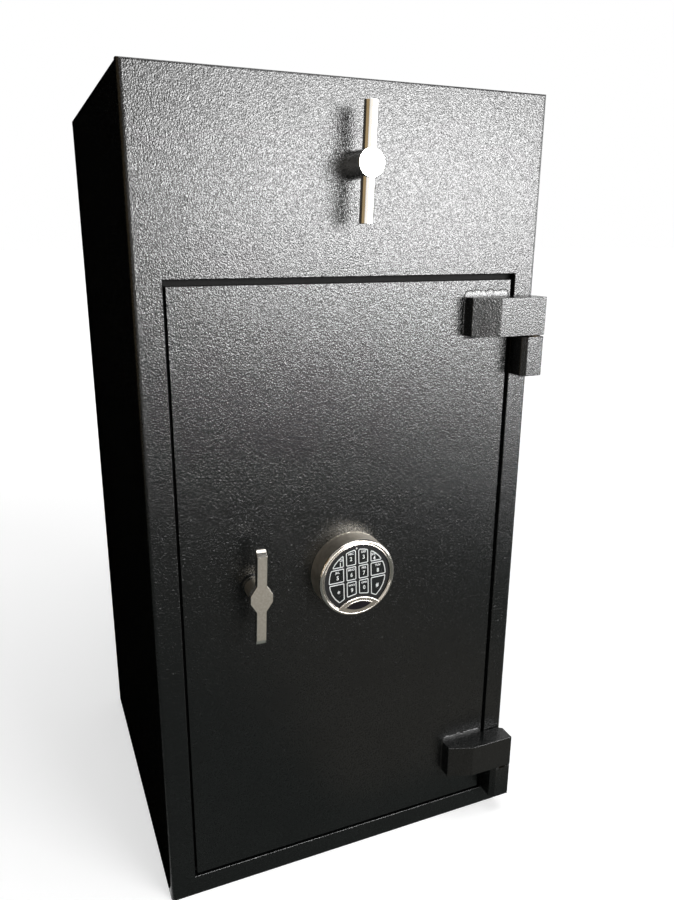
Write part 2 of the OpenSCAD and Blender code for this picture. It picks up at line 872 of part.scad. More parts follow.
// The lock case, open below for its bolt and in front for the lead
module lock_case() {
    room = lock_bolt_w / 2 + slip;
    color(zinc) at_front() difference() {
        slab([lock_x - lock_w / 2, lock_y0, lock_bottom],
            [lock_x + lock_w / 2, lock_y0 + lock_d, lock_bottom + lock_h]);
        slab([lock_x - room, lock_bolt_y - lock_bolt_t / 2 - slip, lock_bottom - cut],
            [lock_x + room, lock_bolt_y + lock_bolt_t / 2 + slip, lock_bolt_z + lock_bolt_len + slip]);
        bar_y(lead_hole_d, lock_y0 - cut, lock_y0 + hard_t, lock_x, lock_bottom + lock_h - lead_hole_d);
    }
}

module lock_bolt() {
    color(bronze) at_front() slab(
        [lock_x - lock_bolt_w / 2, lock_bolt_y - lock_bolt_t / 2, lock_bolt_z],
        [lock_x + lock_bolt_w / 2, lock_bolt_y + lock_bolt_t / 2, lock_bolt_z + lock_bolt_len]
    );
}

// A slot with round ends, lying along X
module slot_x(x0, x1, z, w) {
    pane([x0, z - w / 2], [x1, z + w / 2]);
    for (x = [x0, x1]) {
        translate([x, z]) circle(d = w);
    }
}

// A slot with round ends, standing along Z
module slot_z(x, z0, z1, w) {
    pane([x - w / 2, z0], [x + w / 2, z1]);
    for (z = [z0, z1]) {
        translate([x, z]) circle(d = w);
    }
}

// The plate that carries the locking bolts, with the tongue that works the lock bolt
module carriage_plate() {
    tongue_low = tongue_z - tongue_slope * (tongue_end - tongue_knee);
    color(zinc) at_front() upright(carriage_y0, carriage_t) difference() {
        union() {
            pane([carriage_l, carriage_b], [carriage_r, carriage_t_z]);
            polygon([
                [carriage_r - cut, tongue_z - tongue_h],
                [tongue_end, tongue_z - tongue_h],
                [tongue_end, tongue_low],
                [tongue_knee, tongue_z],
                [carriage_r - cut, tongue_z]
            ]);
        }
        for (z = stud_zs) {
            slot_x(stud_x, stud_x + bolt_throw, z, stud_d + 2 * slip);
        }
        slot_z(lever_x + crank_off, lock_z + crank_off, lock_z + crank_far, crank_slot_w);
    }
}

// Studs welded on the leaf: a spacer, the stud in its slot, and a cap that holds the plate
module carriage_studs() {
    color(steel) at_front() for (z = stud_zs) {
        bar_y(stud_collar_d, leaf_back, carriage_y0 - slip, stud_x, z);
        bar_y(stud_d, leaf_back, carriage_y1 + slip + stud_cap_t, stud_x, z);
        bar_y(stud_cap_d, carriage_y1 + slip, carriage_y1 + slip + stud_cap_t, stud_x, z);
    }
}

module locking_bolts() {
    bevel = 2;
    color(chrome) at_front() for (z = bolt_zs) difference() {
        union() {
            bar_x(bolt_d, bolt_tip + bevel, bolt_tip + bolt_len, bolt_y, z);
            translate([bolt_tip, bolt_y, z]) rotate([0, 90, 0]) {
                cylinder(d1 = bolt_d - 2 * bevel, d2 = bolt_d, h = bevel);
            }
        }
        slab([carriage_l - 0.5, bolt_y - bolt_d, z - bolt_d],
            [bolt_tip + bolt_len + cut, carriage_y1, z + bolt_d]);
    }
}

// The rose on the leaf's face and the sleeve behind it that the spindle turns in
module lever_rose() {
    color(nickel) at_front() difference() {
        union() {
            bar_y(rose_d, -leaf_proud - rose_t, -leaf_proud, lever_x, lock_z);
            bar_y(lever_spindle_d + 4, -leaf_proud, leaf_back, lever_x, lock_z);
        }
        bar_y(lever_spindle_d + 2 * run, -cut - lever_out, front_t + cut, lever_x, lock_z);
    }
}

// The lever's outline: two straight arms and an eight-sided centre
module lever_outline() {
    eye_x = lever_eye_w / 2;
    eye_z = lever_eye_h / 2;
    flat_z = lever_eye_h / 7;
    arm_x = lever_w / 2;
    round_pane([-arm_x, -lever_len / 2], [arm_x, lever_len / 2], 1.5);
    polygon([for (p = [[1, 1], [1, -1], [-1, -1], [-1, 1]]) each (
        p[0] * p[1] > 0
        ? [[p[0] * arm_x, p[1] * eye_z], [p[0] * eye_x, p[1] * flat_z]]
        : [[p[0] * eye_x, p[1] * flat_z], [p[0] * arm_x, p[1] * eye_z]]
    )]);
}

// The lever's side view: a flat bar whose tips are rounded over at the front
module lever_profile() {
    tip_r = lever_t * 0.6;
    half = lever_len / 2;
    pane([0, -half + tip_r], [lever_t, half - tip_r]);
    pane([tip_r, -half], [lever_t, half]);
    for (s = [-1, 1]) {
        translate([tip_r, s * (half - tip_r)]) circle(r = tip_r);
    }
}

module lever_handle() {
    face = -leaf_proud - lever_out;
    boss_back = -leaf_proud - rose_t - 0.4;
    color(nickel) at_front() difference() {
        union() {
            translate([lever_x, 0, lock_z]) rotate([0, lever_lean, 0]) intersection() {
                upright(face, lever_t) lever_outline();
                translate([-lever_eye_w, face, 0]) rotate([90, 0, 90]) {
                    linear_extrude(2 * lever_eye_w) lever_profile();
                }
            }
            bar_y(lever_boss_d, face + lever_t - cut, boss_back, lever_x, lock_z);
        }
        bar_y(lever_spindle_d + 2 * press, face + lever_t, boss_back + cut, lever_x, lock_z);
    }
}

module lever_spindle() {
    face = -leaf_proud - lever_out;
    color(steel) at_front() bar_y(lever_spindle_d, face + lever_t, cam_y0 + cam_t, lever_x, lock_z);
}

// The cam on the spindle's end, its crank pin up and to the right while the bolts are withdrawn
module lever_cam() {
    color(steel) at_front() difference() {
        union() {
            bar_y(cam_hub_d, cam_y0, cam_y0 + cam_t, lever_x, lock_z);
            translate([lever_x, 0, lock_z]) upright(cam_y0, cam_t) {
                rotate(45) pane([0, -cam_arm_w / 2], [crank_far, cam_arm_w / 2]);
            }
            bar_y(cam_end_d, cam_y0, cam_y0 + cam_t, lever_x + crank_off, lock_z + crank_off);
            bar_y(crank_d, cam_y0, carriage_y1 - 0.5, lever_x + crank_off, lock_z + crank_off);
        }
        bar_y(lever_spindle_d + 2 * press, cam_y0 - cut, cam_y0 + cam_t + cut, lever_x, lock_z);
    }
}

// The key field seen from the front: a disc cut off below by the crescent's arch
module field_shape(r, margin) {
    difference() {
        circle(r = r);
        translate([0, crescent_z]) circle(r = crescent_r + margin);
    }
}

// One key's outline. Outer columns reach the field's circle and the bottom row the arch, and the
// two keys beside the indicator light are cut round it
module key_shape(col, row, grow) {
    reach = key_reach_d / 2;
    near_x = key_gap_x / 2 - grow;
    far_x = key_gap_x / 2 + key_w + grow;
    wide = (col == 0 || col == 3);
    x0 = wide ? far_x + key_gap_x - 2 * grow : near_x;
    x1 = wide ? reach + cut : far_x;
    low = row == 1 ? -key_h / 2 - grow : row == 0 ? key_h / 2 + key_gap_z - grow : -reach - cut;
    high = row == 1 ? key_h / 2 + grow : row == 0 ? reach + cut : -key_h / 2 - key_gap_z + grow;
    difference() {
        intersection() {
            mirror([col < 2 ? 1 : 0, 0]) pane([x0, keys_rise + low], [x1, keys_rise + high]);
            field_shape(reach + grow, crescent_margin - grow);
        }
        translate([0, led_rise]) circle(r = led_d / 2 + led_margin - grow);
    }
}

// The badge plate's outline: the overlap of two circles
module badge_shape(grow) {
    intersection() {
        translate([0, -badge_drop + badge_h / 2 - badge_r]) circle(r = badge_r + grow);
        translate([0, -badge_drop - badge_h / 2 + badge_r]) circle(r = badge_r + grow);
    }
}

// A keypad piece: a front view shape between two distances out from the leaf
module keypad_layer(out0, out1) {
    translate([lock_x, -leaf_proud - out0, lock_z]) rotate([90, 0, 0]) {
        linear_extrude(out1 - out0) rotate(keypad_lean) children();
    }
}

module keypad_base() {
    color(black_plastic) at_front() keypad_layer(0, foot_t) difference() {
        circle(d = keypad_d);
        circle(d = lead_hole_d);
    }
}

module keypad_housing() {
    r = ring_d / 2;
    color(chrome) at_front() difference() {
        turned(lock_x, -leaf_proud, lock_z) {
            polygon([
                [0, foot_t],
                [keypad_d / 2 - 0.5, foot_t],
                [r, keypad_out - ring_round],
                [r - ring_round, keypad_out],
                [r - ring_round - ring_lip, keypad_out],
                [r - ring_round - ring_lip, land_out],
                [0, land_out]
            ]);
            translate([r - ring_round, keypad_out - ring_round]) circle(r = ring_round);
        }
        keypad_layer(web_out, keypad_out + cut) field_shape(field_d / 2, 0);
        keypad_layer(land_out - badge_t, keypad_out + cut) badge_shape(press);
        keypad_layer(foot_t - cut, web_out - web_t) circle(r = r - 4);
        keypad_layer(web_out - web_t - cut, web_out + cut) circle(d = lead_hole_d);
    }
}

module keypad_face() {
    color(black_plastic) at_front() keypad_layer(web_out, face_out) difference() {
        field_shape(field_d / 2 - slip, slip);
        for (col = [0 : 3]) {
            for (row = [0 : 2]) {
                key_shape(col, row, slip);
            }
        }
        translate([0, led_rise]) circle(d = led_d + 2 * press);
    }
}

module keypad_badge() {
    color(black_plastic) at_front() keypad_layer(land_out - badge_t, land_out + badge_proud) {
        badge_shape(-0.1);
    }
}

module keypad_led() {
    color(light_plastic) at_front() keypad_layer(web_out, face_out + led_proud) {
        translate([0, led_rise]) circle(d = led_d);
    }
}

module keypad_key(index) {
    color(black_plastic) at_front() keypad_layer(web_out + key_back, web_out + key_back + key_len) {
        key_shape(index % 4, floor(index / 4), 0);
    }
}

front_frame();
left_side_panel();
right_side_panel();
back_panel();
floor_plate();
top_plate();
hopper_cheek(-1);  // hopper_cheek_left
hopper_cheek(1);  // hopper_cheek_right
rear_bearing_plate();
drum_bushes();
drum_stops();
divider_deck();
anti_fish_combs();
deflector_baffle();
door_stops();
hinge_block(upper_arm_z - block_gap);  // hinge_block_upper
hinge_block(lower_arm_z - block_gap);  // hinge_block_lower
hinge_pins();
thrust_washers();
drum_shell();
drum_end_front();
drum_end_rear();
drum_spindle();
handle_hub();
handle_bar();
door_leaf();
hinge_arm(upper_arm_z);  // hinge_arm_upper
hinge_arm(lower_arm_z);  // hinge_arm_lower
bolt_box();
bolt_box_cover();
cover_screws();
hinge_side_dogs();
hard_plate();
lock_case();
carriage_studs();
lever_rose();
keypad_base();
keypad_housing();
keypad_face();
keypad_badge();
keypad_led();
lever_handle();
lever_spindle();
lever_cam();
carriage_plate();
locking_bolts();
lock_bolt();
for (i = [0 : 11]) {
    keypad_key(i);
}
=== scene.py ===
# Looks of a rotary hopper deposit safe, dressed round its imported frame.
import json
import math

import bmesh
import bpy
from mathutils import Matrix, Vector


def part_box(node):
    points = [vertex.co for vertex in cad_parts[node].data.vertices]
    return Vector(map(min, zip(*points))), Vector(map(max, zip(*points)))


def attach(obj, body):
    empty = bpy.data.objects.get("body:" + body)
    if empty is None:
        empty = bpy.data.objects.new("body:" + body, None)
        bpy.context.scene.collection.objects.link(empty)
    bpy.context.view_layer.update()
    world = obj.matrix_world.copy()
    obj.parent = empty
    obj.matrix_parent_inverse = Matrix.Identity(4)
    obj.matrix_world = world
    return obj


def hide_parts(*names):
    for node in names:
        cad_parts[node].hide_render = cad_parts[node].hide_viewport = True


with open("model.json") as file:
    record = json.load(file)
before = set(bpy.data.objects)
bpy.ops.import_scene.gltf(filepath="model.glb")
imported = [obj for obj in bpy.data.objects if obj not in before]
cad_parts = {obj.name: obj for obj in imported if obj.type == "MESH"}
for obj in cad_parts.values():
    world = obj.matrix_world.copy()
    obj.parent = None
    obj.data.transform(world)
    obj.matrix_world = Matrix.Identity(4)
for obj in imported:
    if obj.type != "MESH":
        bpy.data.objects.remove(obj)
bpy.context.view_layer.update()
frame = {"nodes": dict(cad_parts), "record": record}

NODES = frame["nodes"]
BODY_OF = {
    node: body
    for body, members in frame["record"]["behaviour"]["bodies"].items()
    for node in members
}
SLOT_OF = {part["node"]: part["material_slot"] for part in frame["record"]["subparts"]}

MM = 0.001
# How near two places lie that count as flush, as one point, and as a turned piece's seam
TOUCH = 0.2 * MM
SAME_POINT = 0.002 * MM
SEAM = 0.003 * MM

# The camera, solved from the photograph: its place in metres, its turns in degrees, and its
# focal length in pixels of a frame 674 wide and 900 high
CAMERA_PLACE = (-0.3296, -0.9495, 0.7579)
CAMERA_TURN = (73.962, -0.347, -23.017)
FOCAL_PX = 761.24
FRAME_HEIGHT_PX = 900
SENSOR_MM = 36

# How far these pieces lean to the right, seen from the front, in degrees
HANDLE_LEAN = 2.0
LEVER_LEAN = 1.9
KEYPAD_LEAN = -2.0
HANDLE_BAR_LENGTH = 112 * MM

# How far the edges of the plates are rounded
FRONT_EDGE = 1.1 * MM
SIDE_EDGE = 1.5 * MM
LID_EDGE = 2.2 * MM
MOUTH_EDGE = 1.0 * MM
ARM_EDGE = 1.4 * MM
BLOCK_EDGE = 0.9 * MM

FRONT_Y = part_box("front_frame")[0].y
LEAF_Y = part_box("door_leaf")[0].y


# Shader maths
class Tone:
    """A shader value. Plain arithmetic on it adds the Math nodes."""

    def __init__(self, finish, socket):
        self.finish = finish
        self.socket = socket

    def maths(self, operation, first, second):
        node = self.finish.add("ShaderNodeMath", {"operation": operation}, {0: first, 1: second})
        return Tone(self.finish, node.outputs[0])

    def __add__(self, other):
        return self.maths("ADD", self, other)

    def __radd__(self, other):
        return self.maths("ADD", other, self)

    def __rsub__(self, other):
        return self.maths("SUBTRACT", other, self)

    def __mul__(self, other):
        return self.maths("MULTIPLY", self, other)

    def __rmul__(self, other):
        return self.maths("MULTIPLY", other, self)


class Finish:
    """A material under construction: its node tree, its shader and the place it reads."""

    def __init__(self, name, fixed):
        self.material = bpy.data.materials.new(name)
        self.material.use_nodes = True
        self.tree = self.material.node_tree
        self.tree.nodes.clear()
        self.shader = self.add("ShaderNodeBsdfPrincipled", {}, fixed)
        surface = self.shader.outputs["BSDF"]
        self.output = self.add("ShaderNodeOutputMaterial", {}, {"Surface": surface})
        self.place = self.add("ShaderNodeTexCoord", {}, {}).outputs["Object"]

    def add(self, kind, settings, sockets):
        """Adds a node: its settings come first, then the values or links of its sockets."""
        node = self.tree.nodes.new(kind)
        for setting, value in settings.items():
            if setting == "stops":
                self.set_stops(node.color_ramp, value)
            else:
                setattr(node, setting, value)
        for key, value in sockets.items():
            self.plug(node.inputs[key], value)
        return node

    def plug(self, socket, value):
        if isinstance(value, Tone):
            value = value.socket
        if isinstance(value, bpy.types.NodeSocket):
            self.tree.links.new(value, socket)
        else:
            socket.default_value = value

    def set_stops(self, ramp, stops):
        while len(ramp.elements) < len(stops):
            ramp.elements.new(1.0)
        for element, (place, level) in zip(ramp.elements, stops):
            element.position = place
            element.color = (level, level, level, 1.0)

    def feed(self, socket, value):
        self.plug(self.shader.inputs[socket], value)

    def dulled(self, mask, fixed):
        """Mixes in a second, duller skin where the mask is high, with the same relief."""
        second = self.add("ShaderNodeBsdfPrincipled", {}, fixed)
        for link in self.shader.inputs["Normal"].links:
            self.plug(second.inputs["Normal"], link.from_socket)
        skins = {"Fac": mask, 1: self.shader.outputs["BSDF"], 2: second.outputs["BSDF"]}
        mixed = self.add("ShaderNodeMixShader", {}, skins)
        self.plug(self.output.inputs["Surface"], mixed.outputs["Shader"])

    def stretched(self, stretch):
        """The surface's place with each direction scaled."""
        sockets = {0: self.place, 1: stretch}
        node = self.add("ShaderNodeVectorMath", {"operation": "MULTIPLY"}, sockets)
        return node.outputs["Vector"]

    def noise(self, size, detail=2.0, stretch=(1.0, 1.0, 1.0)):
        """Soft noise whose lumps are about size metres across."""
        sockets = {"Vector": self.stretched(stretch), "Scale": 1.0 / size, "Detail": detail}
        node = self.add("ShaderNodeTexNoise", {"noise_dimensions": "3D"}, sockets)
        return Tone(self, node.outputs["Fac"])

    def ramp(self, value, stops):
        """A value drawn over again between stops of (value, level)."""
        node = self.add("ShaderNodeValToRGB", {"stops": stops}, {"Fac": value})
        return Tone(self, node.outputs["Color"])

    def blend(self, mask, first, second):
        """A colour between two others."""
        sockets = {0: mask, 6: (*first, 1.0), 7: (*second, 1.0)}
        return self.add("ShaderNodeMix", {"data_type": "RGBA"}, sockets).outputs[2]

    def bump(self, height, depth):
        sockets = {"Height": height, "Distance": depth, "Strength": 1.0}
        self.feed("Normal", self.add("ShaderNodeBump", {}, sockets).outputs["Normal"])

    def surface(self, mask, dark, light, roughness, height=None, depth=0.0):
        """The finished material: a colour between two where the mask says, and a relief."""
        self.feed("Base Color", self.blend(mask, dark, light))
        self.feed("Roughness", roughness)
        if height is not None:
            self.bump(height, depth)
        return self.material


def powder_coat(name, roughness, peel, dullness):
    """Black powder coat: fine orange peel, glossy on its crowns and dull in its pits, with a
    few sharper grains that catch the light."""
    finish = Finish(name, {"IOR": 1.5})
    crowns = finish.noise(1.3 * MM, detail=1.0, stretch=(1.0, 1.0, 0.85))
    pits = finish.ramp(finish.noise(1.15 * MM, detail=1.0), [(0.44, 1.0), (0.54, 0.0)])
    waves = finish.noise(16 * MM, detail=1.0)
    grains = finish.ramp(finish.noise(1.7 * MM, detail=0.0), [(0.66, 0.0), (0.76, 1.0)])
    dust = finish.ramp(finish.noise(60 * MM, detail=4.0), [(0.35, 0.0), (0.75, 1.0)])
    clean, dusty = (0.0024, 0.0029, 0.0027), (0.0040, 0.0046, 0.0044)
    relief = crowns + 0.12 * waves + 0.18 * grains
    finish.surface(dust, clean, dusty, roughness + 0.2 * (0.5 - crowns), relief, peel)
    finish.dulled(dullness * pits, {
        "Base Color": (0.003, 0.003, 0.003, 1.0), "Roughness": 0.5, "Specular IOR Level": 0.08,
    })
    return finish.material


def inner_coat(name):
    """The thin, matt coat that reaches the parts behind the door."""
    finish = Finish(name, {"IOR": 1.5, "Specular IOR Level": 0.1})
    spatter = finish.noise(2.2 * MM, detail=3.0)
    cloud = finish.noise(45 * MM, detail=3.0)
    return finish.surface(
        cloud, (0.006, 0.006, 0.006), (0.012, 0.012, 0.012),
        0.6 + 0.2 * spatter, spatter, 0.15 * MM,
    )


def polished_chrome(name):
    """Chrome plate: smudges in the gloss and the slight waviness of the metal under it."""
    finish = Finish(name, {"Metallic": 1.0})
    smudges = finish.ramp(finish.noise(18 * MM, detail=4.0), [(0.45, 0.0), (0.8, 1.0)])
    waves = finish.noise(9 * MM, detail=1.0)
    return finish.surface(
        smudges, (0.80, 0.79, 0.77), (0.70, 0.69, 0.66),
        0.07 + 0.10 * smudges, waves, 0.03 * MM,
    )


def soft_chrome(name):
    """The keypad's plating: a softer shine with a warm cast, wiped and fingered."""
    finish = Finish(name, {"Metallic": 1.0})
    wiped = finish.noise(6 * MM, detail=4.0)
    fingers = finish.ramp(finish.noise(16 * MM, detail=3.0), [(0.45, 0.0), (0.75, 1.0)])
    return finish.surface(
        wiped, (0.42, 0.39, 0.35), (0.66, 0.62, 0.57),
        0.1 + 0.08 * wiped + 0.08 * fingers, wiped, 0.05 * MM,
    )


def satin_wall(name, dark, light):
    """Blasted, softly turned metal: a round wall that glows where it turns to the light."""
    finish = Finish(name, {"Metallic": 1.0})
    grain = finish.noise(1.2 * MM, detail=2.0)
    handled = finish.noise(9 * MM, detail=3.0)
    return finish.surface(handled, dark, light, 0.3 + 0.12 * grain, grain, 0.07 * MM)


def satin_nickel(name):
    """Satin nickel: a soft mottle from blasting, and faint upright brushing."""
    finish = Finish(name, {"Metallic": 1.0})
    mottle = finish.noise(2.6 * MM, detail=3.0)
    brushing = finish.noise(0.5 * MM, detail=2.0, stretch=(1.0, 1.0, 0.05))
    return finish.surface(
        mottle, (0.56, 0.53, 0.48), (0.86, 0.82, 0.76),
        0.1 + 0.08 * brushing + 0.06 * mottle, mottle + 0.4 * brushing, 0.05 * MM,
    )


def zinc_plate(name):
    """Bright zinc: rolled sheet lines under a cloudy passivated skin."""
    finish = Finish(name, {"Metallic": 1.0})
    clouds = finish.noise(28 * MM, detail=5.0)
    lines = finish.noise(0.7 * MM, detail=2.0, stretch=(1.0, 0.03, 1.0))
    return finish.surface(
        clouds, (0.52, 0.54, 0.56), (0.70, 0.70, 0.66),
        0.30 + 0.18 * clouds, lines, 0.02 * MM,
    )


def ground_steel(name, shade, roughness, along):
    """Machined steel: fine lines that run along one direction, and an oil film's patches."""
    finish = Finish(name, {"Metallic": 1.0})
    film = finish.noise(22 * MM, detail=3.0)
    lines = finish.noise(0.6 * MM, detail=3.0, stretch=along)
    dark = tuple(0.8 * level for level in shade)
    return finish.surface(film, dark, shade, roughness + 0.12 * lines, lines, 0.03 * MM)


def turned_bronze(name, clean, tarnished):
    """Bronze with a turned surface and tarnish in patches."""
    finish = Finish(name, {"Metallic": 1.0})
    tarnish = finish.ramp(finish.noise(7 * MM, detail=4.0), [(0.4, 0.0), (0.7, 1.0)])
    rings = finish.noise(0.5 * MM, detail=2.0, stretch=(0.1, 1.0, 0.1))
    return finish.surface(tarnish, clean, tarnished, 0.32 + 0.2 * tarnish, rings, 0.02 * MM)


def cast_zinc(name):
    """The lock case's casting: grainy skin with flow clouds."""
    finish = Finish(name, {"Metallic": 1.0})
    grain = finish.noise(0.9 * MM, detail=3.0)
    clouds = finish.noise(16 * MM, detail=3.0)
    return finish.surface(
        clouds, (0.44, 0.44, 0.45), (0.56, 0.56, 0.56),
        0.42 + 0.15 * grain, grain, 0.08 * MM,
    )


def moulded_plastic(name, dark, light, roughness, grain_depth):
    """Moulded plastic with a fine spark-eroded grain and a little uneven sheen."""
    finish = Finish(name, {"IOR": 1.49, "Specular IOR Level": 0.2})
    grain = finish.noise(0.5 * MM, detail=2.0)
    handling = finish.noise(12 * MM, detail=3.0)
    return finish.surface(
        handling, dark, light,
        roughness + 0.1 * handling, grain, grain_depth,
    )


def thin_skin(name, fixed, wear_size, detail, dark, light, roughness, spread):
    """A thin print, rim or lens, very slightly uneven."""
    finish = Finish(name, fixed)
    wear = finish.noise(wear_size, detail=detail)
    return finish.surface(wear, dark, light, roughness + spread * wear)


COAT = powder_coat("black_powder_coat", 0.14, 0.36 * MM, 0.52)
THIN_COAT = inner_coat("thin_inner_coat")
WELD_COAT = powder_coat("powder_coat_over_weld", 0.2, 0.15 * MM, 0.42)
CHROME = polished_chrome("polished_chrome")
KEYPAD_CHROME = soft_chrome("soft_chrome")
KEYPAD_WALL = satin_wall("satin_keypad_wall", (0.36, 0.31, 0.23), (0.84, 0.78, 0.68))
# The boss's finish is the keypad wall's satin metal in darker, browner colours: painted shade
# for the boss's dark brown side beside the lever
SHADED_BOSS_STEEL = satin_wall("boss_steel_painted_shade", (0.36, 0.32, 0.25), (0.50, 0.46, 0.38))
NICKEL = satin_nickel("satin_nickel")
ZINC = zinc_plate("bright_zinc")
BOLT_STEEL = ground_steel("ground_bolt_steel", (0.62, 0.62, 0.63), 0.16, (1.0, 0.06, 0.06))
PLAIN_STEEL = ground_steel("plain_steel", (0.42, 0.42, 0.43), 0.32, (0.05, 1.0, 1.0))
HARD_STEEL = ground_steel("hardened_plate", (0.16, 0.16, 0.19), 0.38, (0.08, 1.0, 1.0))
BRONZE = turned_bronze("turned_bronze", (0.62, 0.44, 0.22), (0.38, 0.25, 0.12))
# The thrust washers' bronze in near-black colours: painted shade for the narrow gaps between the
# hinge arms and blocks where the washers sit
SHADED_WASHER_BRONZE = turned_bronze("washer_bronze_painted_shade", (0.016, 0.013, 0.009), (0.009, 0.007, 0.005))
CASTING = cast_zinc("cast_zinc")
FACE_PLASTIC = moulded_plastic(
    "keypad_face_plastic", (0.002, 0.002, 0.002), (0.003, 0.003, 0.003), 0.42, 0.03 * MM
)
KEY_PLASTIC = moulded_plastic(
    "key_plastic", (0.002, 0.003, 0.003), (0.003, 0.005, 0.005), 0.3, 0.015 * MM
)
BADGE_PLASTIC = moulded_plastic(
    "badge_gloss", (0.008, 0.007, 0.009), (0.014, 0.012, 0.015), 0.08, 0.004 * MM
)
WHITE = (0.86, 0.87, 0.86)
WORN_WHITE = tuple(0.86 * level for level in WHITE)
INK = thin_skin("white_ink", {"IOR": 1.45}, 0.8 * MM, 3.0, WORN_WHITE, WHITE, 0.35, 0.1)
ARC_PLASTIC = moulded_plastic(
    "raised_arc_plastic", (0.17, 0.18, 0.18), (0.24, 0.25, 0.25), 0.3, 0.01 * MM
)
RIM = thin_skin(
    "silver_key_rim", {"Metallic": 0.55, "IOR": 1.45}, 1.5 * MM, 3.0,
    (0.62, 0.64, 0.64), (0.76, 0.77, 0.76), 0.3, 0.1,
)
LENS = thin_skin(
    "indicator_lens", {"IOR": 1.5}, 0.8 * MM, 1.0,
    (0.62, 0.60, 0.58), (0.75, 0.73, 0.70), 0.12, 0.05,
)


# Modelling by hand
def leave_edit():
    if bpy.context.object and bpy.context.object.mode != "OBJECT":
        bpy.ops.object.mode_set(mode="OBJECT")


def let_go():
    """Leaves edit mode, with nothing selected."""
    leave_edit()
    bpy.ops.object.select_all(action="DESELECT")


def take(piece):
    """Makes a piece the only selected one."""
    let_go()
    piece.select_set(True)
    bpy.context.view_layer.objects.active = piece


def settle():
    """Writes the selected piece's place, turn and size into its mesh."""
    bpy.ops.object.transform_apply(location=True, rotation=True, scale=True)


def joined(pieces, name):
    """Several pieces made into one."""
    take(pieces[0])
    for piece in pieces:
        piece.select_set(True)
    bpy.ops.object.join()
    pieces[0].name = name
    return pieces[0]


def reshape(piece, kind, settings):
    """Adds a modifier with its settings and applies it."""
    modifier = piece.modifiers.new(kind.lower(), kind)
    for setting, value in settings.items():
        setattr(modifier, setting, value)
    bpy.ops.object.modifier_apply(modifier=modifier.name)


def start_edit(piece, mode="EDGE"):
    """Opens a piece's mesh with nothing selected."""
    take(piece)
    bpy.ops.object.mode_set(mode="EDIT")
    bpy.ops.mesh.select_mode(type=mode)
    bpy.ops.mesh.select_all(action="DESELECT")
    return bmesh.from_edit_mesh(piece.data)


def face_outwards():
    """Turns all faces of the open mesh outwards and closes it."""
    bpy.ops.mesh.select_all(action="SELECT")
    bpy.ops.mesh.normals_make_consistent(inside=False)
    leave_edit()


def pick(mesh, elements, wanted):
    """Selects the elements that wanted() accepts."""
    for element in elements:
        element.select = wanted(element)
    mesh.select_flush_mode()
    return any(element.select for element in elements)


def middle(edge):
    return (edge.verts[0].co + edge.verts[1].co) / 2


def is_sharp(edge, degrees=30):
    return len(edge.link_faces) == 2 and edge.calc_face_angle() > math.radians(degrees)


def soften(piece, width, steps=2, where=None, degrees=30):
    """Rounds a piece's sharp edges, or those whose middle the rule where() accepts."""
    mesh = start_edit(piece)
    chosen = pick(
        mesh, mesh.edges,
        lambda edge: is_sharp(edge, degrees) and (where is None or where(middle(edge))),
    )
    if chosen:
        bpy.ops.mesh.bevel(
            offset_type="OFFSET", offset=width, segments=steps, profile=0.5, affect="EDGES",
            clamp_overlap=True,
        )
    leave_edit()


def smooth(piece, degrees=32):
    """Shades the soft edges smoothly and keeps the flats flat."""
    take(piece)
    bpy.ops.object.shade_smooth_by_angle(angle=math.radians(degrees))
    reshape(piece, "WEIGHTED_NORMAL", {"keep_sharp": True})


def coat(piece, *finishes):
    piece.data.materials.clear()
    for finish in finishes:
        piece.data.materials.append(finish)


def dress(piece, body, slot, *replaced):
    """Lets a finished piece ride on its body and stand for the nodes that it replaces."""
    take(piece)
    settle()
    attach(piece, body)
    if replaced:
        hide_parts(*replaced)
    return piece


def lean(piece, centre, degrees):
    """Leans a piece to the right, seen from the front, about a point."""
    take(piece)
    turn = Matrix.Rotation(math.radians(degrees), 4, "Y")
    away = Matrix.Translation(centre)
    piece.matrix_world = away @ turn @ away.inverted() @ piece.matrix_world
    settle()


def drawn_line(name, points):
    """A piece drawn from point to point, left open for more modelling."""
    let_go()
    bpy.ops.mesh.primitive_plane_add(size=MM, location=points[0])
    piece = bpy.context.object
    piece.name = name
    settle()
    start_edit(piece, "VERT")
    bpy.ops.mesh.select_all(action="SELECT")
    bpy.ops.mesh.merge(type="CENTER")
    for place, onward in zip(points, points[1:]):
        bpy.ops.mesh.extrude_region_move(TRANSFORM_OT_translate={"value": onward - place})
    bpy.ops.mesh.select_all(action="SELECT")
    return piece


def drawn_plate(name, centre, outline, out_back, out_front):
    """A plate drawn point by point: (across, up) in mm from centre, seen from the front, and
    between two distances out from the leaf, also in mm."""
    piece = drawn_line(name, [
        Vector((centre.x + across * MM, LEAF_Y - out_back * MM, centre.z + up * MM))
        for across, up in outline
    ])
    bpy.ops.mesh.edge_face_add()
    thickness = (0.0, (out_back - out_front) * MM, 0.0)
    bpy.ops.mesh.extrude_region_move(TRANSFORM_OT_translate={"value": thickness})
    face_outwards()
    return piece


def turned(name, centre, profile, steps=160):
    """Turns a profile about the Y line through centre. A profile point is (radius, out), in mm,
    with out measured from the leaf towards the front, and the profile's ends meet the axis."""
    piece = drawn_line(name, [
        Vector((centre.x + radius * MM, LEAF_Y - out * MM, centre.z)) for radius, out in profile
    ])
    bpy.ops.mesh.spin(
        steps=steps, angle=math.radians(360), center=(centre.x, 0.0, centre.z),
        axis=(0.0, 1.0, 0.0),
    )
    bpy.ops.mesh.select_all(action="SELECT")
    bpy.ops.mesh.remove_doubles(threshold=SEAM)
    face_outwards()
    return piece


def round_bar(name, radius, place, length, corners=128):
    """A round bar lying along Y, from place backwards."""
    bpy.ops.mesh.primitive_cylinder_add(
        vertices=corners, radius=radius, depth=length,
        location=place + Vector((0.0, length / 2, 0.0)), rotation=(math.radians(90), 0.0, 0.0),
    )
    piece = bpy.context.object
    piece.name = name
    settle()
    return piece


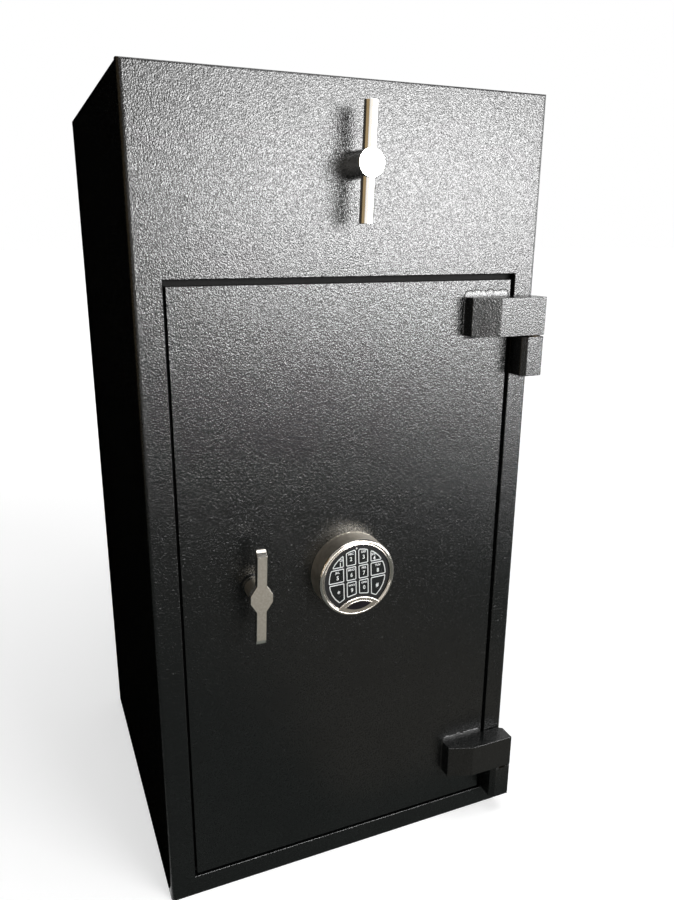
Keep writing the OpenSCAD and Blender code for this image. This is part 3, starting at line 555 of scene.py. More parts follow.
def reworked(node, finish):
    """A copy of a node's mesh, merged into clean faces, that replaces the node."""
    piece = bpy.data.objects.new(node + "_finished", NODES[node].data.copy())
    bpy.context.scene.collection.objects.link(piece)
    take(piece)
    bpy.ops.mesh.customdata_custom_splitnormals_clear()
    start_edit(piece)
    bpy.ops.mesh.select_all(action="SELECT")
    bpy.ops.mesh.remove_doubles(threshold=SAME_POINT)
    bpy.ops.mesh.dissolve_limited(angle_limit=math.radians(0.5))
    leave_edit()
    coat(piece, finish)
    return dress(piece, BODY_OF[node], SLOT_OF[node], node)


def plain(finish, *nodes):
    """Nodes that keep their own mesh and get their finish."""
    for node in nodes:
        for slot in NODES[node].material_slots:
            slot.material = finish


# The cabinet's shell. Its outer edges are rounded; where plates meet flush they stay square
def cabinet_shell():
    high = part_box("front_frame")[1]
    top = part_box("top_plate")
    back = top[1].y
    margin = 6 * MM
    frame_plate = reworked("front_frame", COAT)
    soften(
        frame_plate, FRONT_EDGE, 3,
        lambda point: point.y < FRONT_Y + TOUCH and abs(point.x) < high.x - margin
        and TOUCH < point.z < high.z - margin,
    )
    smooth(frame_plate)

    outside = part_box("left_side_panel")[0].x
    for name, edge_x in (("left_side_panel", outside), ("right_side_panel", -outside)):
        panel = reworked(name, COAT)
        soften(
            panel, SIDE_EDGE, 3,
            lambda point: point.y > back - TOUCH and abs(point.x - edge_x) < TOUCH < point.z,
        )
        smooth(panel)

    lid = reworked("top_plate", COAT)
    soften(
        lid, LID_EDGE, 4,
        lambda point: point.z > top[1].z - TOUCH and high.y + TOUCH < point.y
        and (abs(point.x) > top[1].x - TOUCH or point.y > back - TOUCH),
    )
    # The loading mouth's edges lie within 50 mm of the middle
    soften(
        lid, MOUTH_EDGE, 2,
        lambda point: point.z > top[1].z - TOUCH and abs(point.x) < 50 * MM
        and high.y + TOUCH < point.y < back - 50 * MM,
    )
    smooth(lid)
    plain(
        COAT, "back_panel", "floor_plate", "hopper_cheek_left", "hopper_cheek_right",
        "rear_bearing_plate", "divider_deck", "deflector_baffle",
    )
    plain(THIN_COAT, "door_stops")


cabinet_shell()


# The door leaf, the arms welded on it and the blocks that they turn on
def door_and_hinges():
    leaf = reworked("door_leaf", COAT)
    soften(leaf, FRONT_EDGE, 3, lambda point: abs(point.y - LEAF_Y) < TOUCH)
    smooth(leaf)
    for kind, base_y, edge, steps, degrees in (
        ("hinge_arm_", LEAF_Y, ARM_EDGE, 4, 12),
        ("hinge_block_", FRONT_Y, BLOCK_EDGE, 3, 30),
    ):
        for end in ("upper", "lower"):
            part = reworked(kind + end, COAT)
            soften(part, edge, steps, lambda point: point.y < base_y - 0.3 * MM, degrees)
            smooth(part)


door_and_hinges()


# A weld bead's full size, how far it starts and stops from the edges, and its drops' spacing
# and the grain that they are melted with, as shares of its size
WELD_SIZE = 5.0 * MM
WELD_INSET = 3 * MM
WELD_STOP = 7 * MM
DROP_PITCH = 0.55
MELT_GRAIN = 0.09


def weld_bead(name, start, end, size, wobble):
    """A painted weld bead: overlapping drops along a line, melted into one lumpy strip."""
    count = max(2, round((end - start).length / (size * DROP_PITCH)))
    drops = []
    for i in range(count + 1):
        swing = math.sin(i * 2.3) + 0.6 * math.sin(i * 5.1 + wobble)
        place = start.lerp(end, i / count) + Vector((0.0, 0.0, 0.05 * size * swing))
        bpy.ops.mesh.primitive_uv_sphere_add(
            segments=20, ring_count=12, radius=size * (1.0 + 0.09 * swing), location=place,
            scale=(1.0, 0.2, 1.3),
        )
        drops.append(bpy.context.object)
    bead = joined(drops, name)
    settle()
    reshape(bead, "REMESH", {"mode": "VOXEL", "voxel_size": size * MELT_GRAIN})
    reshape(bead, "SMOOTH", {"factor": 0.6, "iterations": 4})
    bpy.ops.object.shade_smooth()
    coat(bead, WELD_COAT)
    dress(bead, "door", "powder_coat")


def arm_welds():
    """Beads round each arm: a full one along its top, slighter ones at its end and below."""
    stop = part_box("door_leaf")[1].x - WELD_STOP
    y = LEAF_Y - 0.1 * MM
    for node, wobble in (("hinge_arm_upper", 0.0), ("hinge_arm_lower", 1.7)):
        low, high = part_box(node)
        beads = (
            ("_top_weld", (low.x + WELD_INSET, y, high.z), (stop, y, high.z), 1.15),
            ("_end_weld", (low.x, y, low.z + WELD_INSET), (low.x, y, high.z - WELD_INSET), 0.45),
            ("_bottom_weld", (low.x + WELD_INSET, y, low.z), (stop, y, low.z), 0.5),
        )
        for i, (ending, start, end, share) in enumerate(beads):
            size = share * WELD_SIZE
            weld_bead(node + ending, Vector(start), Vector(end), size, wobble + i)


arm_welds()


# The T-handle: a turned hub with a cross bar through it
def turning_handle():
    low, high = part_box("handle_hub")
    centre = (low + high) / 2
    place = Vector((centre.x, low.y, centre.z))
    hub = round_bar("handle_hub_turned", (high.x - low.x) / 2, place, high.y - low.y)
    soften(hub, 0.9 * MM, 4, lambda point: point.y < low.y + 0.1 * MM)
    smooth(hub)
    coat(hub, CHROME)
    dress(hub, "hopper_drum", "polished_handle", "handle_hub")

    low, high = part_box("handle_bar")
    centre = (low + high) / 2
    bpy.ops.mesh.primitive_cylinder_add(
        vertices=96, radius=(high.y - low.y) / 2, depth=HANDLE_BAR_LENGTH, location=centre
    )
    bar = bpy.context.object
    bar.name = "handle_cross_bar"
    settle()
    soften(bar, 0.7 * MM, 3)
    smooth(bar)
    lean(bar, centre, HANDLE_LEAN)
    coat(bar, CHROME)
    dress(bar, "hopper_drum", "polished_handle", "handle_bar")
    plain(PLAIN_STEEL, "drum_spindle")


turning_handle()


# The keypad
KEYPAD_LOW, KEYPAD_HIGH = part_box("keypad_base")
KEYPAD_CENTRE = (KEYPAD_LOW + KEYPAD_HIGH) / 2
KEYPAD_R = (KEYPAD_HIGH.x - KEYPAD_LOW.x) / 2 / MM
# Its forms in mm, or in metres where MM stands with them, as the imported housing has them. A
# name in OUT is a distance out from the leaf
RING_R = 45.5
RING_ROUND = 3.0
RING_OUT = (LEAF_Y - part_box("keypad_housing")[0].y) / MM
FOOT_T = (LEAF_Y - KEYPAD_LOW.y) / MM
FIELD_R = 39.7
WEB_OUT = (LEAF_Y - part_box("keypad_face")[1].y) / MM
# Inside its rounding the ring dips into a groove and ends in a bead round the key field:
# distances inwards from its edge and back from its front
GROOVE = (
    (3.3, 0.1), (3.7, 0.4), (4.0, 0.75), (4.35, 0.9), (4.7, 0.75), (4.9, 0.5), (5.15, 0.38),
    (5.4, 0.42), (5.6, 0.62), (5.75, 0.95),
)
CRESCENT_R = 37.0
CRESCENT_DROP = 23.4
CRESCENT_GAP = 0.15
CRESCENT_SINK = 0.12
BADGE_W = 31.3
BADGE_H = 9.4
BADGE_DROP = 33.2
SURROUND_W = 1.1
KEY_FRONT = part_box("key_5")[0].y
KEY_RIM = 1.0 * MM
KEY_RIM_ROUND = 0.22 * MM
KEY_SINK = 0.25 * MM
KEY_CROWN = 0.2
KEY_CORNER = 1.7
KEY_W = 12.0
KEY_H = 16.3
KEY_GAP = 2.8
ROW_GAP = 1.5
KEYS_RISE = 6.6
REACH_R = 34.8
ARCH_MARGIN = 3.7
LAMP_NOTCH = 1.6
FIGURE_SIZE = 6.6 * MM
FIGURE_SQUEEZE = 0.84
LETTER_SIZE = 3.5 * MM
FOUR_LETTERS_SHARE = 0.8
# Shares of a figure's size that its strokes are thickened by, and the star's own measures
INK_SPREAD = 0.03
STAR_SPREAD = 0.012
STAR_GROWTH = 1.35
STAR_DROP = 1.1 * MM
INK_DEPTH = 0.06 * MM
ARC_R = 4.7 * MM
ARC_THICK = 0.36 * MM


def rounded(centre_r, centre_out, radius, steps):
    """Points of a quarter round of a profile, from its outer side to its front."""
    turns = [math.radians(90 * i / steps) for i in range(steps + 1)]
    return [
        (centre_r + radius * math.cos(turn), centre_out + radius * math.sin(turn))
        for turn in turns
    ]


def eye_outline(grow, steps=18):
    """The badge's eye shape, grown by some mm: two shallow arcs that meet at its sides."""
    bow = (BADGE_W ** 2 / 4 + BADGE_H ** 2 / 4) / BADGE_H
    reach = bow - BADGE_H / 2
    radius = bow + grow
    side = math.acos(reach / radius)
    turns = [side - 2 * side * i / steps for i in range(steps + 1)]
    upper = [(radius * math.sin(turn), radius * math.cos(turn) - reach) for turn in turns]
    lower = [(-across, -up) for across, up in upper[1:-1]]
    return [(across, up - BADGE_DROP) for across, up in upper + lower]


def crescent_outline(edge, steps=30):
    """The crescent: an arch above, and below it a part of a circle of radius edge."""
    arch = -CRESCENT_DROP - CRESCENT_R
    corner_up = (edge ** 2 - CRESCENT_R ** 2 + arch ** 2) / (2 * arch)
    corner_across = math.sqrt(edge ** 2 - corner_up ** 2)
    over = math.asin(corner_across / CRESCENT_R)
    under = math.atan2(corner_across, -corner_up)
    outline = []
    for i in range(steps + 1):
        turn = over - 2 * over * i / steps
        outline.append((CRESCENT_R * math.sin(turn), arch + CRESCENT_R * math.cos(turn)))
    for i in range(1, steps):
        turn = 2 * under * i / steps - under
        outline.append((edge * math.sin(turn), -edge * math.cos(turn)))
    return outline


def cut_corners(outline, radius, steps=4):
    """An outline with its clear corners rounded."""
    points = [Vector(point) for point in outline]
    result = []
    for i, corner in enumerate(points):
        to_last = points[i - 1] - corner
        to_next = points[(i + 1) % len(points)] - corner
        before = to_last.normalized()
        after = to_next.normalized()
        turn = math.pi - before.angle(after)
        if turn < math.radians(20):
            result.append(tuple(corner))
            continue
        room = 0.45 * min(to_last.length, to_next.length)
        reach = min(radius * math.tan(turn / 2), room)
        first = corner + before * reach
        last = corner + after * reach
        for step in range(steps + 1):
            part = step / steps
            bow = first.lerp(corner, part).lerp(corner.lerp(last, part), part)
            result.append(tuple(bow))
    return result


def keypad_bezel():
    """The housing: a round wall, a rounded ring with its groove, and the field's floor."""
    rim = rounded(RING_R - RING_ROUND, RING_OUT - RING_ROUND, RING_ROUND, 10)
    bezel = turned("keypad_bezel", KEYPAD_CENTRE, [
        (0.0, FOOT_T), (KEYPAD_R - 0.2, FOOT_T), (KEYPAD_R - 0.15, FOOT_T + 0.5), *rim,
        *[(RING_R - inward, RING_OUT - back) for inward, back in GROOVE],
        (FIELD_R, RING_OUT - 1.2), (FIELD_R, WEB_OUT), (0.0, WEB_OUT),
    ])
    coat(bezel, KEYPAD_CHROME, KEYPAD_WALL)
    for face in bezel.data.polygons:
        away = (face.center - KEYPAD_CENTRE).xz.length / MM
        out = (LEAF_Y - face.center.y) / MM
        face.material_index = 1 if away > RING_R - 1 and out < RING_OUT - RING_ROUND else 0
    smooth(bezel, 40)
    dress(bezel, "door", "keypad_chrome", "keypad_housing")


def keypad_plate(name, outline, outs, edge, steps, where, finish, slot, *replaced):
    """A plate on the keypad's front, its edges rounded, leaning as the keypad does."""
    plate = drawn_plate(name, KEYPAD_CENTRE, outline, *outs)
    soften(plate, edge, steps, where)
    smooth(plate, 40)
    lean(plate, KEYPAD_CENTRE, KEYPAD_LEAN)
    coat(plate, finish)
    dress(plate, "door", slot, *replaced)


def keypad_shell():
    keypad_bezel()
    front = RING_OUT - CRESCENT_SINK
    front_y = LEAF_Y - front * MM
    arch_centre = KEYPAD_CENTRE - Vector((0.0, 0.0, (CRESCENT_DROP + CRESCENT_R) * MM))
    keypad_plate(
        "keypad_crescent", crescent_outline(RING_R - RING_ROUND - CRESCENT_GAP),
        (WEB_OUT, front), 1.0 * MM, 5,
        lambda point: abs(point.y - front_y) < 0.1 * MM
        and abs((point - arch_centre).xz.length - CRESCENT_R * MM) < 0.5 * MM,
        KEYPAD_CHROME, "keypad_chrome",
    )
    keypad_plate(
        "badge_surround", cut_corners(eye_outline(SURROUND_W), 1.6), (front - 1, front + 0.3),
        0.4 * MM, 3, lambda point: point.y < front_y, KEYPAD_CHROME, "keypad_chrome",
    )
    keypad_plate(
        "badge_plate_blank", cut_corners(eye_outline(-0.1), 1.2), (front - 0.8, front + 0.36),
        0.12 * MM, 2, lambda point: point.y < front_y, BADGE_PLASTIC, "badge_plastic",
        "keypad_badge",
    )

    foot = turned("keypad_foot", KEYPAD_CENTRE, [
        (0.0, 0.0), (KEYPAD_R, 0.0), (KEYPAD_R, FOOT_T - 0.7), (KEYPAD_R - 0.2, FOOT_T - 0.2),
        (KEYPAD_R - 0.7, FOOT_T), (0.0, FOOT_T),
    ])
    smooth(foot, 40)
    coat(foot, KEYPAD_WALL)
    dress(foot, "door", "keypad_plastic", "keypad_base")
    plain(FACE_PLASTIC, "keypad_face")

    low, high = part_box("keypad_led")
    lamp_r = (high.x - low.x) / 2 / MM
    lamp_out = (LEAF_Y - low.y) / MM
    lens = turned("indicator_lens", (low + high) / 2, [
        (0.0, WEB_OUT), (lamp_r, WEB_OUT), (lamp_r, lamp_out - 0.5),
        (lamp_r * 0.9, lamp_out - 0.25), (lamp_r * 0.6, lamp_out - 0.08), (0.0, lamp_out),
    ], 32)
    smooth(lens, 50)
    coat(lens, LENS)
    dress(lens, "door", "led_lens", "keypad_led")


def on_circle(radius, up=0.0, across=None, height=None):
    """Where a circle centred above the axis by up crosses a given across or height."""
    if across is not None:
        return (across, up + math.sqrt(radius ** 2 - across ** 2))
    return (math.sqrt(radius ** 2 - (height - up) ** 2), height)


def key_outlines():
    """The right-hand keys' outlines, in mm from the keypad's centre: column and row to points.
    Their outer sides follow a circle, and some points on it are given by their steps up."""
    near = (KEY_GAP / 2, KEY_GAP / 2 + KEY_W)
    far = near[1] + KEY_GAP
    row_top = KEYS_RISE + KEY_H / 2
    row_low = KEYS_RISE - KEY_H / 2
    top_low = row_top + ROW_GAP
    foot_top = row_low - ROW_GAP
    arch = -CRESCENT_DROP - CRESCENT_R
    arch_r = CRESCENT_R + ARCH_MARGIN
    foot_z = (REACH_R ** 2 - arch_r ** 2 + arch ** 2) / (2 * arch)

    def climb(start, *steps):
        return [on_circle(REACH_R, height=start + step) for step in (0, *steps)]

    return {
        (0, 0): [
            (near[0], top_low), (near[1], top_low), on_circle(REACH_R, across=near[1]),
            on_circle(REACH_R, across=near[1] - 4.6),
            on_circle(REACH_R, across=near[0] + LAMP_NOTCH),
            (near[0], REACH_R - 1.3 * LAMP_NOTCH),
        ],
        (1, 0): [(far, top_low), *climb(top_low, 5.5, 10.5), on_circle(REACH_R, across=far)],
        (0, 1): [(near[0], row_low), (near[1], row_low), (near[1], row_top), (near[0], row_top)],
        (1, 1): [
            (far, row_low), *climb(row_low, 4.3, 8.6, 12.9), on_circle(REACH_R, height=row_top),
            (far, row_top),
        ],
        (0, 2): [
            on_circle(arch_r, arch, across=near[0]), on_circle(arch_r, arch, across=near[1]),
            (near[1], foot_top), (near[0], foot_top),
        ],
        (1, 2): [
            on_circle(arch_r, arch, across=far), *climb(foot_z, 6, 12, 18),
            on_circle(REACH_R, height=foot_top), (far, foot_top),
        ],
    }


def key_cap(node, outline):
    """One key: rounded corners, a raised silver border and a sunk dark face."""
    low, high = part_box(node)
    front = (LEAF_Y - low.y) / MM
    back = (LEAF_Y - high.y) / MM
    cap = drawn_plate(
        node + "_cap", KEYPAD_CENTRE, cut_corners(outline, KEY_CORNER), back, front - KEY_CROWN
    )
    coat(cap, KEY_PLASTIC, RIM)
    mesh = start_edit(cap, "FACE")
    pick(mesh, mesh.faces, lambda face: face.normal.y < -0.99)
    bpy.ops.mesh.inset(thickness=KEY_RIM_ROUND, depth=KEY_CROWN * MM)
    bpy.ops.mesh.inset(thickness=KEY_RIM - KEY_RIM_ROUND, depth=0.0)
    bpy.ops.mesh.inset(thickness=0.15 * MM, depth=-KEY_SINK)
    leave_edit()
    border_y = LEAF_Y - (front - KEY_CROWN) * MM
    for face in cap.data.polygons:
        sunk = face.normal.y < -0.99 and face.center.y > low.y + KEY_SINK / 2
        face.material_index = 1 if face.center.y < border_y - 0.01 * MM and not sunk else 0
    smooth(cap, 35)
    lean(cap, KEYPAD_CENTRE, KEYPAD_LEAN)
    dress(cap, BODY_OF[node], SLOT_OF[node], node)


def raised_mesh(text, size, place, squeeze):
    """Figures printed proud of a face that looks towards -Y, centred on a place."""
    let_go()
    bpy.ops.object.text_add()
    figure = bpy.context.object
    figure.data.body = text
    figure.data.size = size
    figure.data.align_x = "CENTER"
    figure.data.align_y = "CENTER"
    figure.data.extrude = INK_DEPTH / 2
    figure.data.offset = size * (STAR_SPREAD if text == "*" else INK_SPREAD)
    figure.data.resolution_u = 4
    take(figure)
    bpy.ops.object.convert(target="MESH")
    upright = Matrix.Translation(place) @ Matrix.Rotation(math.radians(90), 4, "X")
    figure.matrix_world = upright @ Matrix.Diagonal((squeeze, 1.0, 1.0, 1.0))
    take(figure)
    settle()
    return figure


def raised_arc(place, radius, thick):
    """A thin raised arc over a figure, from ten to two o'clock."""
    let_go()
    bpy.ops.mesh.primitive_circle_add(
        vertices=10, radius=thick, fill_type="NGON",
        location=place + Vector((radius * math.cos(math.radians(30)), 0.0, radius / 2)),
        rotation=(0.0, math.radians(60), 0.0),
    )
    arc = bpy.context.object
    settle()
    start_edit(arc)
    bpy.ops.mesh.select_all(action="SELECT")
    bpy.ops.mesh.spin(steps=24, angle=math.radians(-120), center=place, axis=(0.0, 1.0, 0.0))
    face_outwards()
    smooth(arc, 50)
    coat(arc, ARC_PLASTIC)
    return arc


# Each key's figure with its letters, then the figure's place from the keypad's centre in mm,
# and the letters' place from the figure
LEGENDS = {
    "key_1": ("1", "QZ", -20.3, 19.9, 1.6, 5.2),
    "key_2": ("2", "ABC", -7.4, 24.0, 0.0, 6.3),
    "key_3": ("3", "DEF", 8.0, 23.8, 0.0, 6.4),
    "key_4": ("4", "GHI", 21.0, 19.9, -1.7, 5.0),
    "key_5": ("5", "JKL", -23.9, 4.4, 0.0, 6.6),
    "key_6": ("6", "MNO", -7.2, 4.8, 0.0, 6.3),
    "key_7": ("7", "PRS", 8.0, 4.5, 0.0, 6.3),
    "key_8": ("8", "TUV", 25.2, 4.2, 0.0, 6.4),
    "key_star": ("*", "", -23.0, -13.8, 0.0, 0.0),
    "key_9": ("9", "WXY", -7.0, -13.8, 0.0, 6.1),
    "key_0": ("0", "OPER", 8.0, -13.4, 0.0, 6.3),
    "key_hash": ("#", "", 24.2, -13.8, 0.0, 0.0),
}
# The two small corner keys have no room for an arc over their figure
WITHOUT_ARC = ("key_1", "key_4")


def key_legend(node, figure, letters, across, up, beside, rise):
    """A key's printed figure and letters, and the raised arc over the figure."""
    face_y = KEY_FRONT + KEY_SINK - INK_DEPTH / 2
    place = Vector((KEYPAD_CENTRE.x + across * MM, face_y, KEYPAD_CENTRE.z + up * MM))
    size = FIGURE_SIZE
    drop = 0.0
    if figure == "*":
        size = STAR_GROWTH * FIGURE_SIZE
        drop = STAR_DROP
    printed = [raised_mesh(figure, size, place - Vector((0.0, 0.0, drop)), FIGURE_SQUEEZE)]
    if letters:
        size = LETTER_SIZE if len(letters) < 4 else FOUR_LETTERS_SHARE * LETTER_SIZE
        above = Vector((beside * MM, 0.0, rise * MM))
        printed.append(raised_mesh(letters, size, place + above, 1.0))
    legend = joined(printed, node + "_legend")
    lean(legend, KEYPAD_CENTRE, KEYPAD_LEAN)
    coat(legend, INK)
    dress(legend, node, "key_plastic")
    if node not in WITHOUT_ARC:
        arc_place = Vector((place.x, KEY_FRONT + KEY_SINK + 0.1 * MM, place.z))
        arc = raised_arc(arc_place, ARC_R, ARC_THICK)
        arc.name = node + "_arc"
        lean(arc, KEYPAD_CENTRE, KEYPAD_LEAN)
        dress(arc, node, "key_plastic")


keypad_shell()
OUTLINES = key_outlines()
# The left-hand keys mirror the right-hand ones: in each row, columns far, near, near, far
for i, (node, legend) in enumerate(LEGENDS.items()):
    side = -1 if i % 4 < 2 else 1
    column = 1 if i % 4 in (0, 3) else 0
    key_cap(node, [(side * x, z) for x, z in OUTLINES[column, i // 4]])
    key_legend(node, *legend)


# The lever that throws the bolts: a flat bar with an eight-sided eye, rounded back at its tips.
# Measures in mm; the eye's are its half width, its half height and half its side flats' height
LEVER_T = 8.0
LEVER_HALF = 54.0
LEVER_ARM = 5.3
LEVER_EYE = (12.15, 14.75, 4.2)
LEVER_CORNER = 2.0
BOSS_R = 10.0
BOSS_SINK = 1.0
# How far the face falls back at some distances from the upper tip, both in mm, and the share
# of it at the lower tip
TIP_CURVE = (
    (0.0, 6.3), (0.3, 5.7), (0.8, 4.95), (1.4, 4.2), (2.2, 3.36), (3.0, 2.64), (4.2, 1.65),
    (5.4, 0.75), (6.4, 0.0),
)
LOWER_SHARE = 0.6


def fallen_back(from_tip):
    """How far the lever's face lies back at a distance from its upper tip."""
    for (near, more), (far, less) in zip(TIP_CURVE, TIP_CURVE[1:]):
        if from_tip <= far:
            return more + (less - more) * (from_tip - near) / (far - near)
    return 0.0


def lever_blade(axis, front):
    """The lever's outline as a plate, with lines across it where its tips fall back."""
    out = (LEAF_Y - front) / MM
    eye_x, eye_z, flat_z = LEVER_EYE
    corners = [(-LEVER_ARM, LEVER_HALF), (-LEVER_ARM, eye_z), (-eye_x, flat_z)]
    left = corners + [(x, -z) for x, z in reversed(corners)]
    outline = cut_corners(left + [(-x, z) for x, z in reversed(left)], LEVER_CORNER)
    lever = drawn_plate("bolt_lever", axis, outline, out - LEVER_T, out)
    start_edit(lever, "VERT")
    for from_tip, _ in TIP_CURVE[1:]:
        for side in (1, -1):
            bpy.ops.mesh.select_all(action="SELECT")
            bpy.ops.mesh.bisect(
                plane_co=(0.0, 0.0, axis.z + side * (LEVER_HALF - from_tip) * MM),
                plane_no=(0.0, 0.0, 1.0),
            )
    leave_edit()
    return lever


def bolt_lever():
    low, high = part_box("lever_spindle")
    axis = (low + high) / 2
    low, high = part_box("lever_handle")
    front = low.y
    face_y = front + 0.01 * MM
    lever = lever_blade(axis, front)
    heights = sorted({
        round(vert.co.z, 6) for vert in lever.data.vertices if vert.co.y < face_y
    })
    mesh = start_edit(lever, "VERT")
    for height in heights:
        share = 1.0 if height > axis.z else LOWER_SHARE
        back = share * fallen_back(LEVER_HALF - abs(height - axis.z) / MM)
        if back > 0:
            pick(
                mesh, mesh.verts,
                lambda vert: abs(vert.co.z - height) < SAME_POINT and vert.co.y < face_y,
            )
            bpy.ops.transform.translate(value=(0.0, back * MM, 0.0))
    leave_edit()
    soften(lever, 0.8 * MM, 3, lambda point: point.y < front + 5 * MM, degrees=40)
    smooth(lever, 35)
    lean(lever, axis, LEVER_LEAN)
    coat(lever, NICKEL)
    dress(lever, "lever", "satin_nickel", "lever_handle")

    # The boss starts a little way inside the blade
    inside = (LEVER_T - BOSS_SINK) * MM
    place = Vector((axis.x, front + inside, axis.z))
    boss = round_bar("lever_boss", BOSS_R * MM, place, high.y - front - inside, corners=96)
    smooth(boss)
    # The boss's darker, browner colours are painted shade
    coat(boss, SHADED_BOSS_STEEL)
    dress(boss, "lever", "satin_nickel")
    plain(COAT, "lever_rose")
    plain(PLAIN_STEEL, "lever_spindle", "lever_cam")


bolt_lever()


# Cover screws: turned heads with a socket
SCREW_HEAD_R = 4.5 * MM
SOCKET_MARGIN = 1.5 * MM
SOCKET_TAPER = 0.1 * MM
SOCKET_DEPTH = 1.2 * MM


def cover_screw_heads():
    low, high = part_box("cover_screws")
    seat_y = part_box("bolt_box_cover")[1].y
    heads = []
    for x in (low.x + SCREW_HEAD_R, high.x - SCREW_HEAD_R):
        for z in (low.z + SCREW_HEAD_R, (low.z + high.z) / 2, high.z - SCREW_HEAD_R):
            place = Vector((x, seat_y, z))
            head = round_bar("screw", SCREW_HEAD_R, place, high.y - seat_y, corners=48)
            soften(head, 0.8 * MM, 3, lambda point: point.y > high.y - 0.1 * MM)
            mesh = start_edit(head, "FACE")
            pick(mesh, mesh.faces, lambda face: face.normal.y > 0.99)
            bpy.ops.mesh.inset(thickness=SOCKET_MARGIN, depth=0.0)
            bpy.ops.mesh.inset(thickness=SOCKET_TAPER, depth=-SOCKET_DEPTH)
            leave_edit()
            smooth(head, 35)
            heads.append(head)
    screws = joined(heads, "cover_screw_heads")
    coat(screws, ZINC)
    dress(screws, "door", "zinc_plate", "cover_screws")


def boltwork():
    plain(COAT, "bolt_box", "bolt_box_cover")
    cover_screw_heads()
    plain(ZINC, "hinge_side_dogs", "carriage_plate")
    plain(BOLT_STEEL, "locking_bolts")
    plain(PLAIN_STEEL, "carriage_studs")
    plain(HARD_STEEL, "hard_plate")
    plain(CASTING, "lock_case")
    plain(BRONZE, "lock_bolt")


boltwork()


def hopper_inside():
    plain(ZINC, "drum_shell", "drum_end_front", "drum_end_rear")
    plain(PLAIN_STEEL, "drum_stops", "anti_fish_combs", "hinge_pins")
    plain(BRONZE, "drum_bushes")
    # The washers' near-black colour is painted shade in the hinge gaps
    plain(SHADED_WASHER_BRONZE, "thrust_washers")


hopper_inside()


# The studio: a pale floor, a white surround, soft lamps, and cards that only reflections see
def studio_floor():
    bpy.ops.mesh.primitive_plane_add(size=60, location=(0.0, 0.0, 0.0))
    floor = bpy.context.object
    floor.name = "studio_floor"
    finish = Finish("pale_floor", {"Roughness": 0.9, "Specular IOR Level": 0.1})
    cloud = finish.noise(0.9, detail=2.0)
    finish.feed("Base Color", finish.blend(cloud, (0.79, 0.79, 0.79), (0.81, 0.81, 0.81)))
    path = finish.add("ShaderNodeLightPath", {}, {})
    camera, gloss, clear = (
        Tone(finish, path.outputs[ray])
        for ray in ("Is Camera Ray", "Is Glossy Ray", "Is Transmission Ray")
    )
    away = finish.add("ShaderNodeVectorMath", {"operation": "LENGTH"}, {0: finish.place})
    sweep = finish.add("ShaderNodeMapRange", {"interpolation_type": "SMOOTHSTEP"}, {
        "Value": away.outputs["Value"], "From Min": 0.5, "From Max": 3.0,
        "To Min": 0.5, "To Max": 0.85,
    })
    glow = Tone(finish, sweep.outputs["Result"]) * (camera + gloss + clear)
    finish.feed("Emission Color", (1.0, 1.0, 1.0, 1.0))
    finish.feed("Emission Strength", glow)
    coat(floor, finish.material)


def studio_lamp(name, place, aim, width, height, level, lights="all"):
    """A soft rectangular lamp of a given brightness, aimed at a point. It lights gloss, matt
    surfaces or all."""
    data = bpy.data.lights.new(name, "AREA")
    data.shape = "RECTANGLE"
    data.size = width
    data.size_y = height
    data.energy = level * math.pi * width * height
    lamp = bpy.data.objects.new(name, data)
    bpy.context.scene.collection.objects.link(lamp)
    lamp.location = place
    lamp.rotation_euler = (Vector(aim) - Vector(place)).to_track_quat("-Z", "Y").to_euler()
    lamp.visible_diffuse = lights != "gloss"
    lamp.visible_glossy = lights != "matt"


def card(name, place, turn, width, height, glow):
    """A glowing or black card beside the set that only reflections see."""
    bpy.ops.mesh.primitive_plane_add(size=1.0, location=place, rotation=turn)
    sheet = bpy.context.object
    sheet.name = name
    sheet.scale = (width, height, 1.0)
    settle()
    finish = Finish(name, {
        "Base Color": (0.0, 0.0, 0.0, 1.0), "Roughness": 1.0, "Specular IOR Level": 0.0,
        "Emission Color": (*glow, 1.0), "Emission Strength": 1.0,
    })
    coat(sheet, finish.material)
    sheet.visible_camera = False
    sheet.visible_diffuse = False
    sheet.visible_shadow = False


def studio_world():
    """White to the camera and to what shines; a plain level for the rest."""
    world = bpy.data.worlds.new("studio")
    bpy.context.scene.world = world
    world.use_nodes = True
    world.node_tree.nodes.clear()

    def add(kind):
        return world.node_tree.nodes.new(kind)

    def link(node, output, socket):
        world.node_tree.links.new(node.outputs[output], socket)

    path = add("ShaderNodeLightPath")
    glossy = add("ShaderNodeMath")
    clear = add("ShaderNodeMath")
    glossy.operation = clear.operation = "MAXIMUM"
    link(path, "Is Camera Ray", glossy.inputs[0])
    link(path, "Is Glossy Ray", glossy.inputs[1])
    link(glossy, 0, clear.inputs[0])
    link(path, "Is Transmission Ray", clear.inputs[1])
    level = add("ShaderNodeMapRange")
    link(clear, 0, level.inputs["Value"])
    level.inputs["To Min"].default_value = 0.3
    level.inputs["To Max"].default_value = 1.0
    background = add("ShaderNodeBackground")
    background.inputs["Color"].default_value = (1.0, 1.0, 1.0, 1.0)
    link(level, "Result", background.inputs["Strength"])
    link(background, "Background", add("ShaderNodeOutputWorld").inputs["Surface"])


def studio_camera():
    data = bpy.data.cameras.new("camera")
    data.sensor_fit = "AUTO"
    data.sensor_width = SENSOR_MM
    data.lens = FOCAL_PX * SENSOR_MM / FRAME_HEIGHT_PX
    data.clip_start = 0.01
    data.clip_end = 60
    camera = bpy.data.objects.new("camera", data)
    bpy.context.scene.collection.objects.link(camera)
    camera.location = CAMERA_PLACE
    camera.rotation_euler = [math.radians(turn) for turn in CAMERA_TURN]
    bpy.context.scene.camera = camera


leave_edit()
studio_floor()
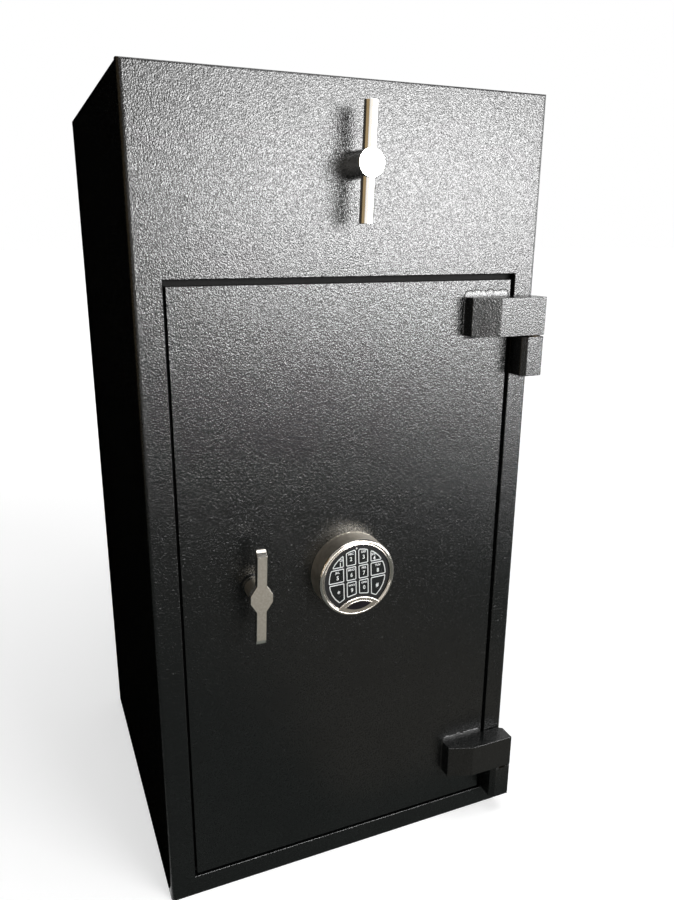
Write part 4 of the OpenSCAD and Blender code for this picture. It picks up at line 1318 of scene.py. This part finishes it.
# The lamps: place, what each is aimed at, width, height, brightness, what it lights
PANEL = (0.0, -0.22, 0.82)
studio_lamp("window", (1.50, -3.2, 1.04), PANEL, 2.44, 1.04, 27.8, "gloss")
studio_lamp("window_end", (2.55, -3.1, 1.15), PANEL, 0.7, 0.8, 4.0, "gloss")
studio_lamp("skylight", (1.15, -3.0, 2.2), (0.0, -0.22, 0.4), 2.4, 1.1, 7.5, "gloss")
studio_lamp("side_window", (3.0, -0.9, 1.0), (0.2, -0.22, 0.6), 1.6, 1.6, 5.5, "gloss")
studio_lamp("key", (1.5, -3.1, 1.6), PANEL, 1.8, 0.9, 13.0, "matt")
studio_lamp("overhead", (0.2, -0.7, 3.2), (0.0, 0.0, 0.5), 2.0, 1.6, 3.5)
BLACK = (0.0, 0.0, 0.0)
FLAT = (0.0, 0.0, 0.0)
UPRIGHT = (math.radians(90), 0.0, 0.0)
SIDEWAYS = (0.0, math.radians(90), 0.0)
# The cards: place, turn, width, height, colour. The first ones are the floor as the door
# reflects it, dark near the safe and bright far from it
card("card_floor", (0.5, -0.82, 0.001), FLAT, 8.0, 1.2, (0.19, 0.21, 0.20))
card("card_floor_next", (0.5, -1.84, 0.001), FLAT, 8.0, 0.84, (0.12, 0.12, 0.12))
card("card_floor_far", (0.5, -2.78, 0.001), FLAT, 8.0, 1.04, (1.1, 1.1, 1.1))
card("card_floor_bright", (0.5, -6.3, 0.001), FLAT, 10.0, 6.0, (6.3, 6.3, 6.3))
card("card_near", (0.24, -0.82, 0.002), FLAT, 0.44, 1.04, (0.35, 0.335, 0.30))
card("card_sun", (1.64, -1.9, 0.002), FLAT, 1.1, 1.0, (4.7, 4.7, 4.8))
card("card_sill", (2.85, -3.19, 0.3), UPRIGHT, 1.05, 0.58, (22.0, 22.0, 22.0))
card("card_ceiling", (0.5, -3.4, 3.4), FLAT, 8.0, 3.6, (0.03, 0.03, 0.03))
card("card_white", (-1.1, -3.3, 1.1), UPRIGHT, 2.3, 2.2, (1.3, 1.24, 1.16))
card("card_left_floor", (-2.2, 2.8, 0.001), FLAT, 4.6, 6.0, BLACK)
card("card_behind", (-1.6, 3.0, 1.8), UPRIGHT, 3.0, 3.6, BLACK)
card("card_left", (-2.6, 1.9, 1.8), SIDEWAYS, 3.6, 2.2, BLACK)
card("card_warm", (-2.6, -0.8, 1.2), SIDEWAYS, 2.4, 3.2, (0.42, 0.31, 0.17))
studio_world()
studio_camera()
bpy.context.scene.view_settings.view_transform = "Standard"
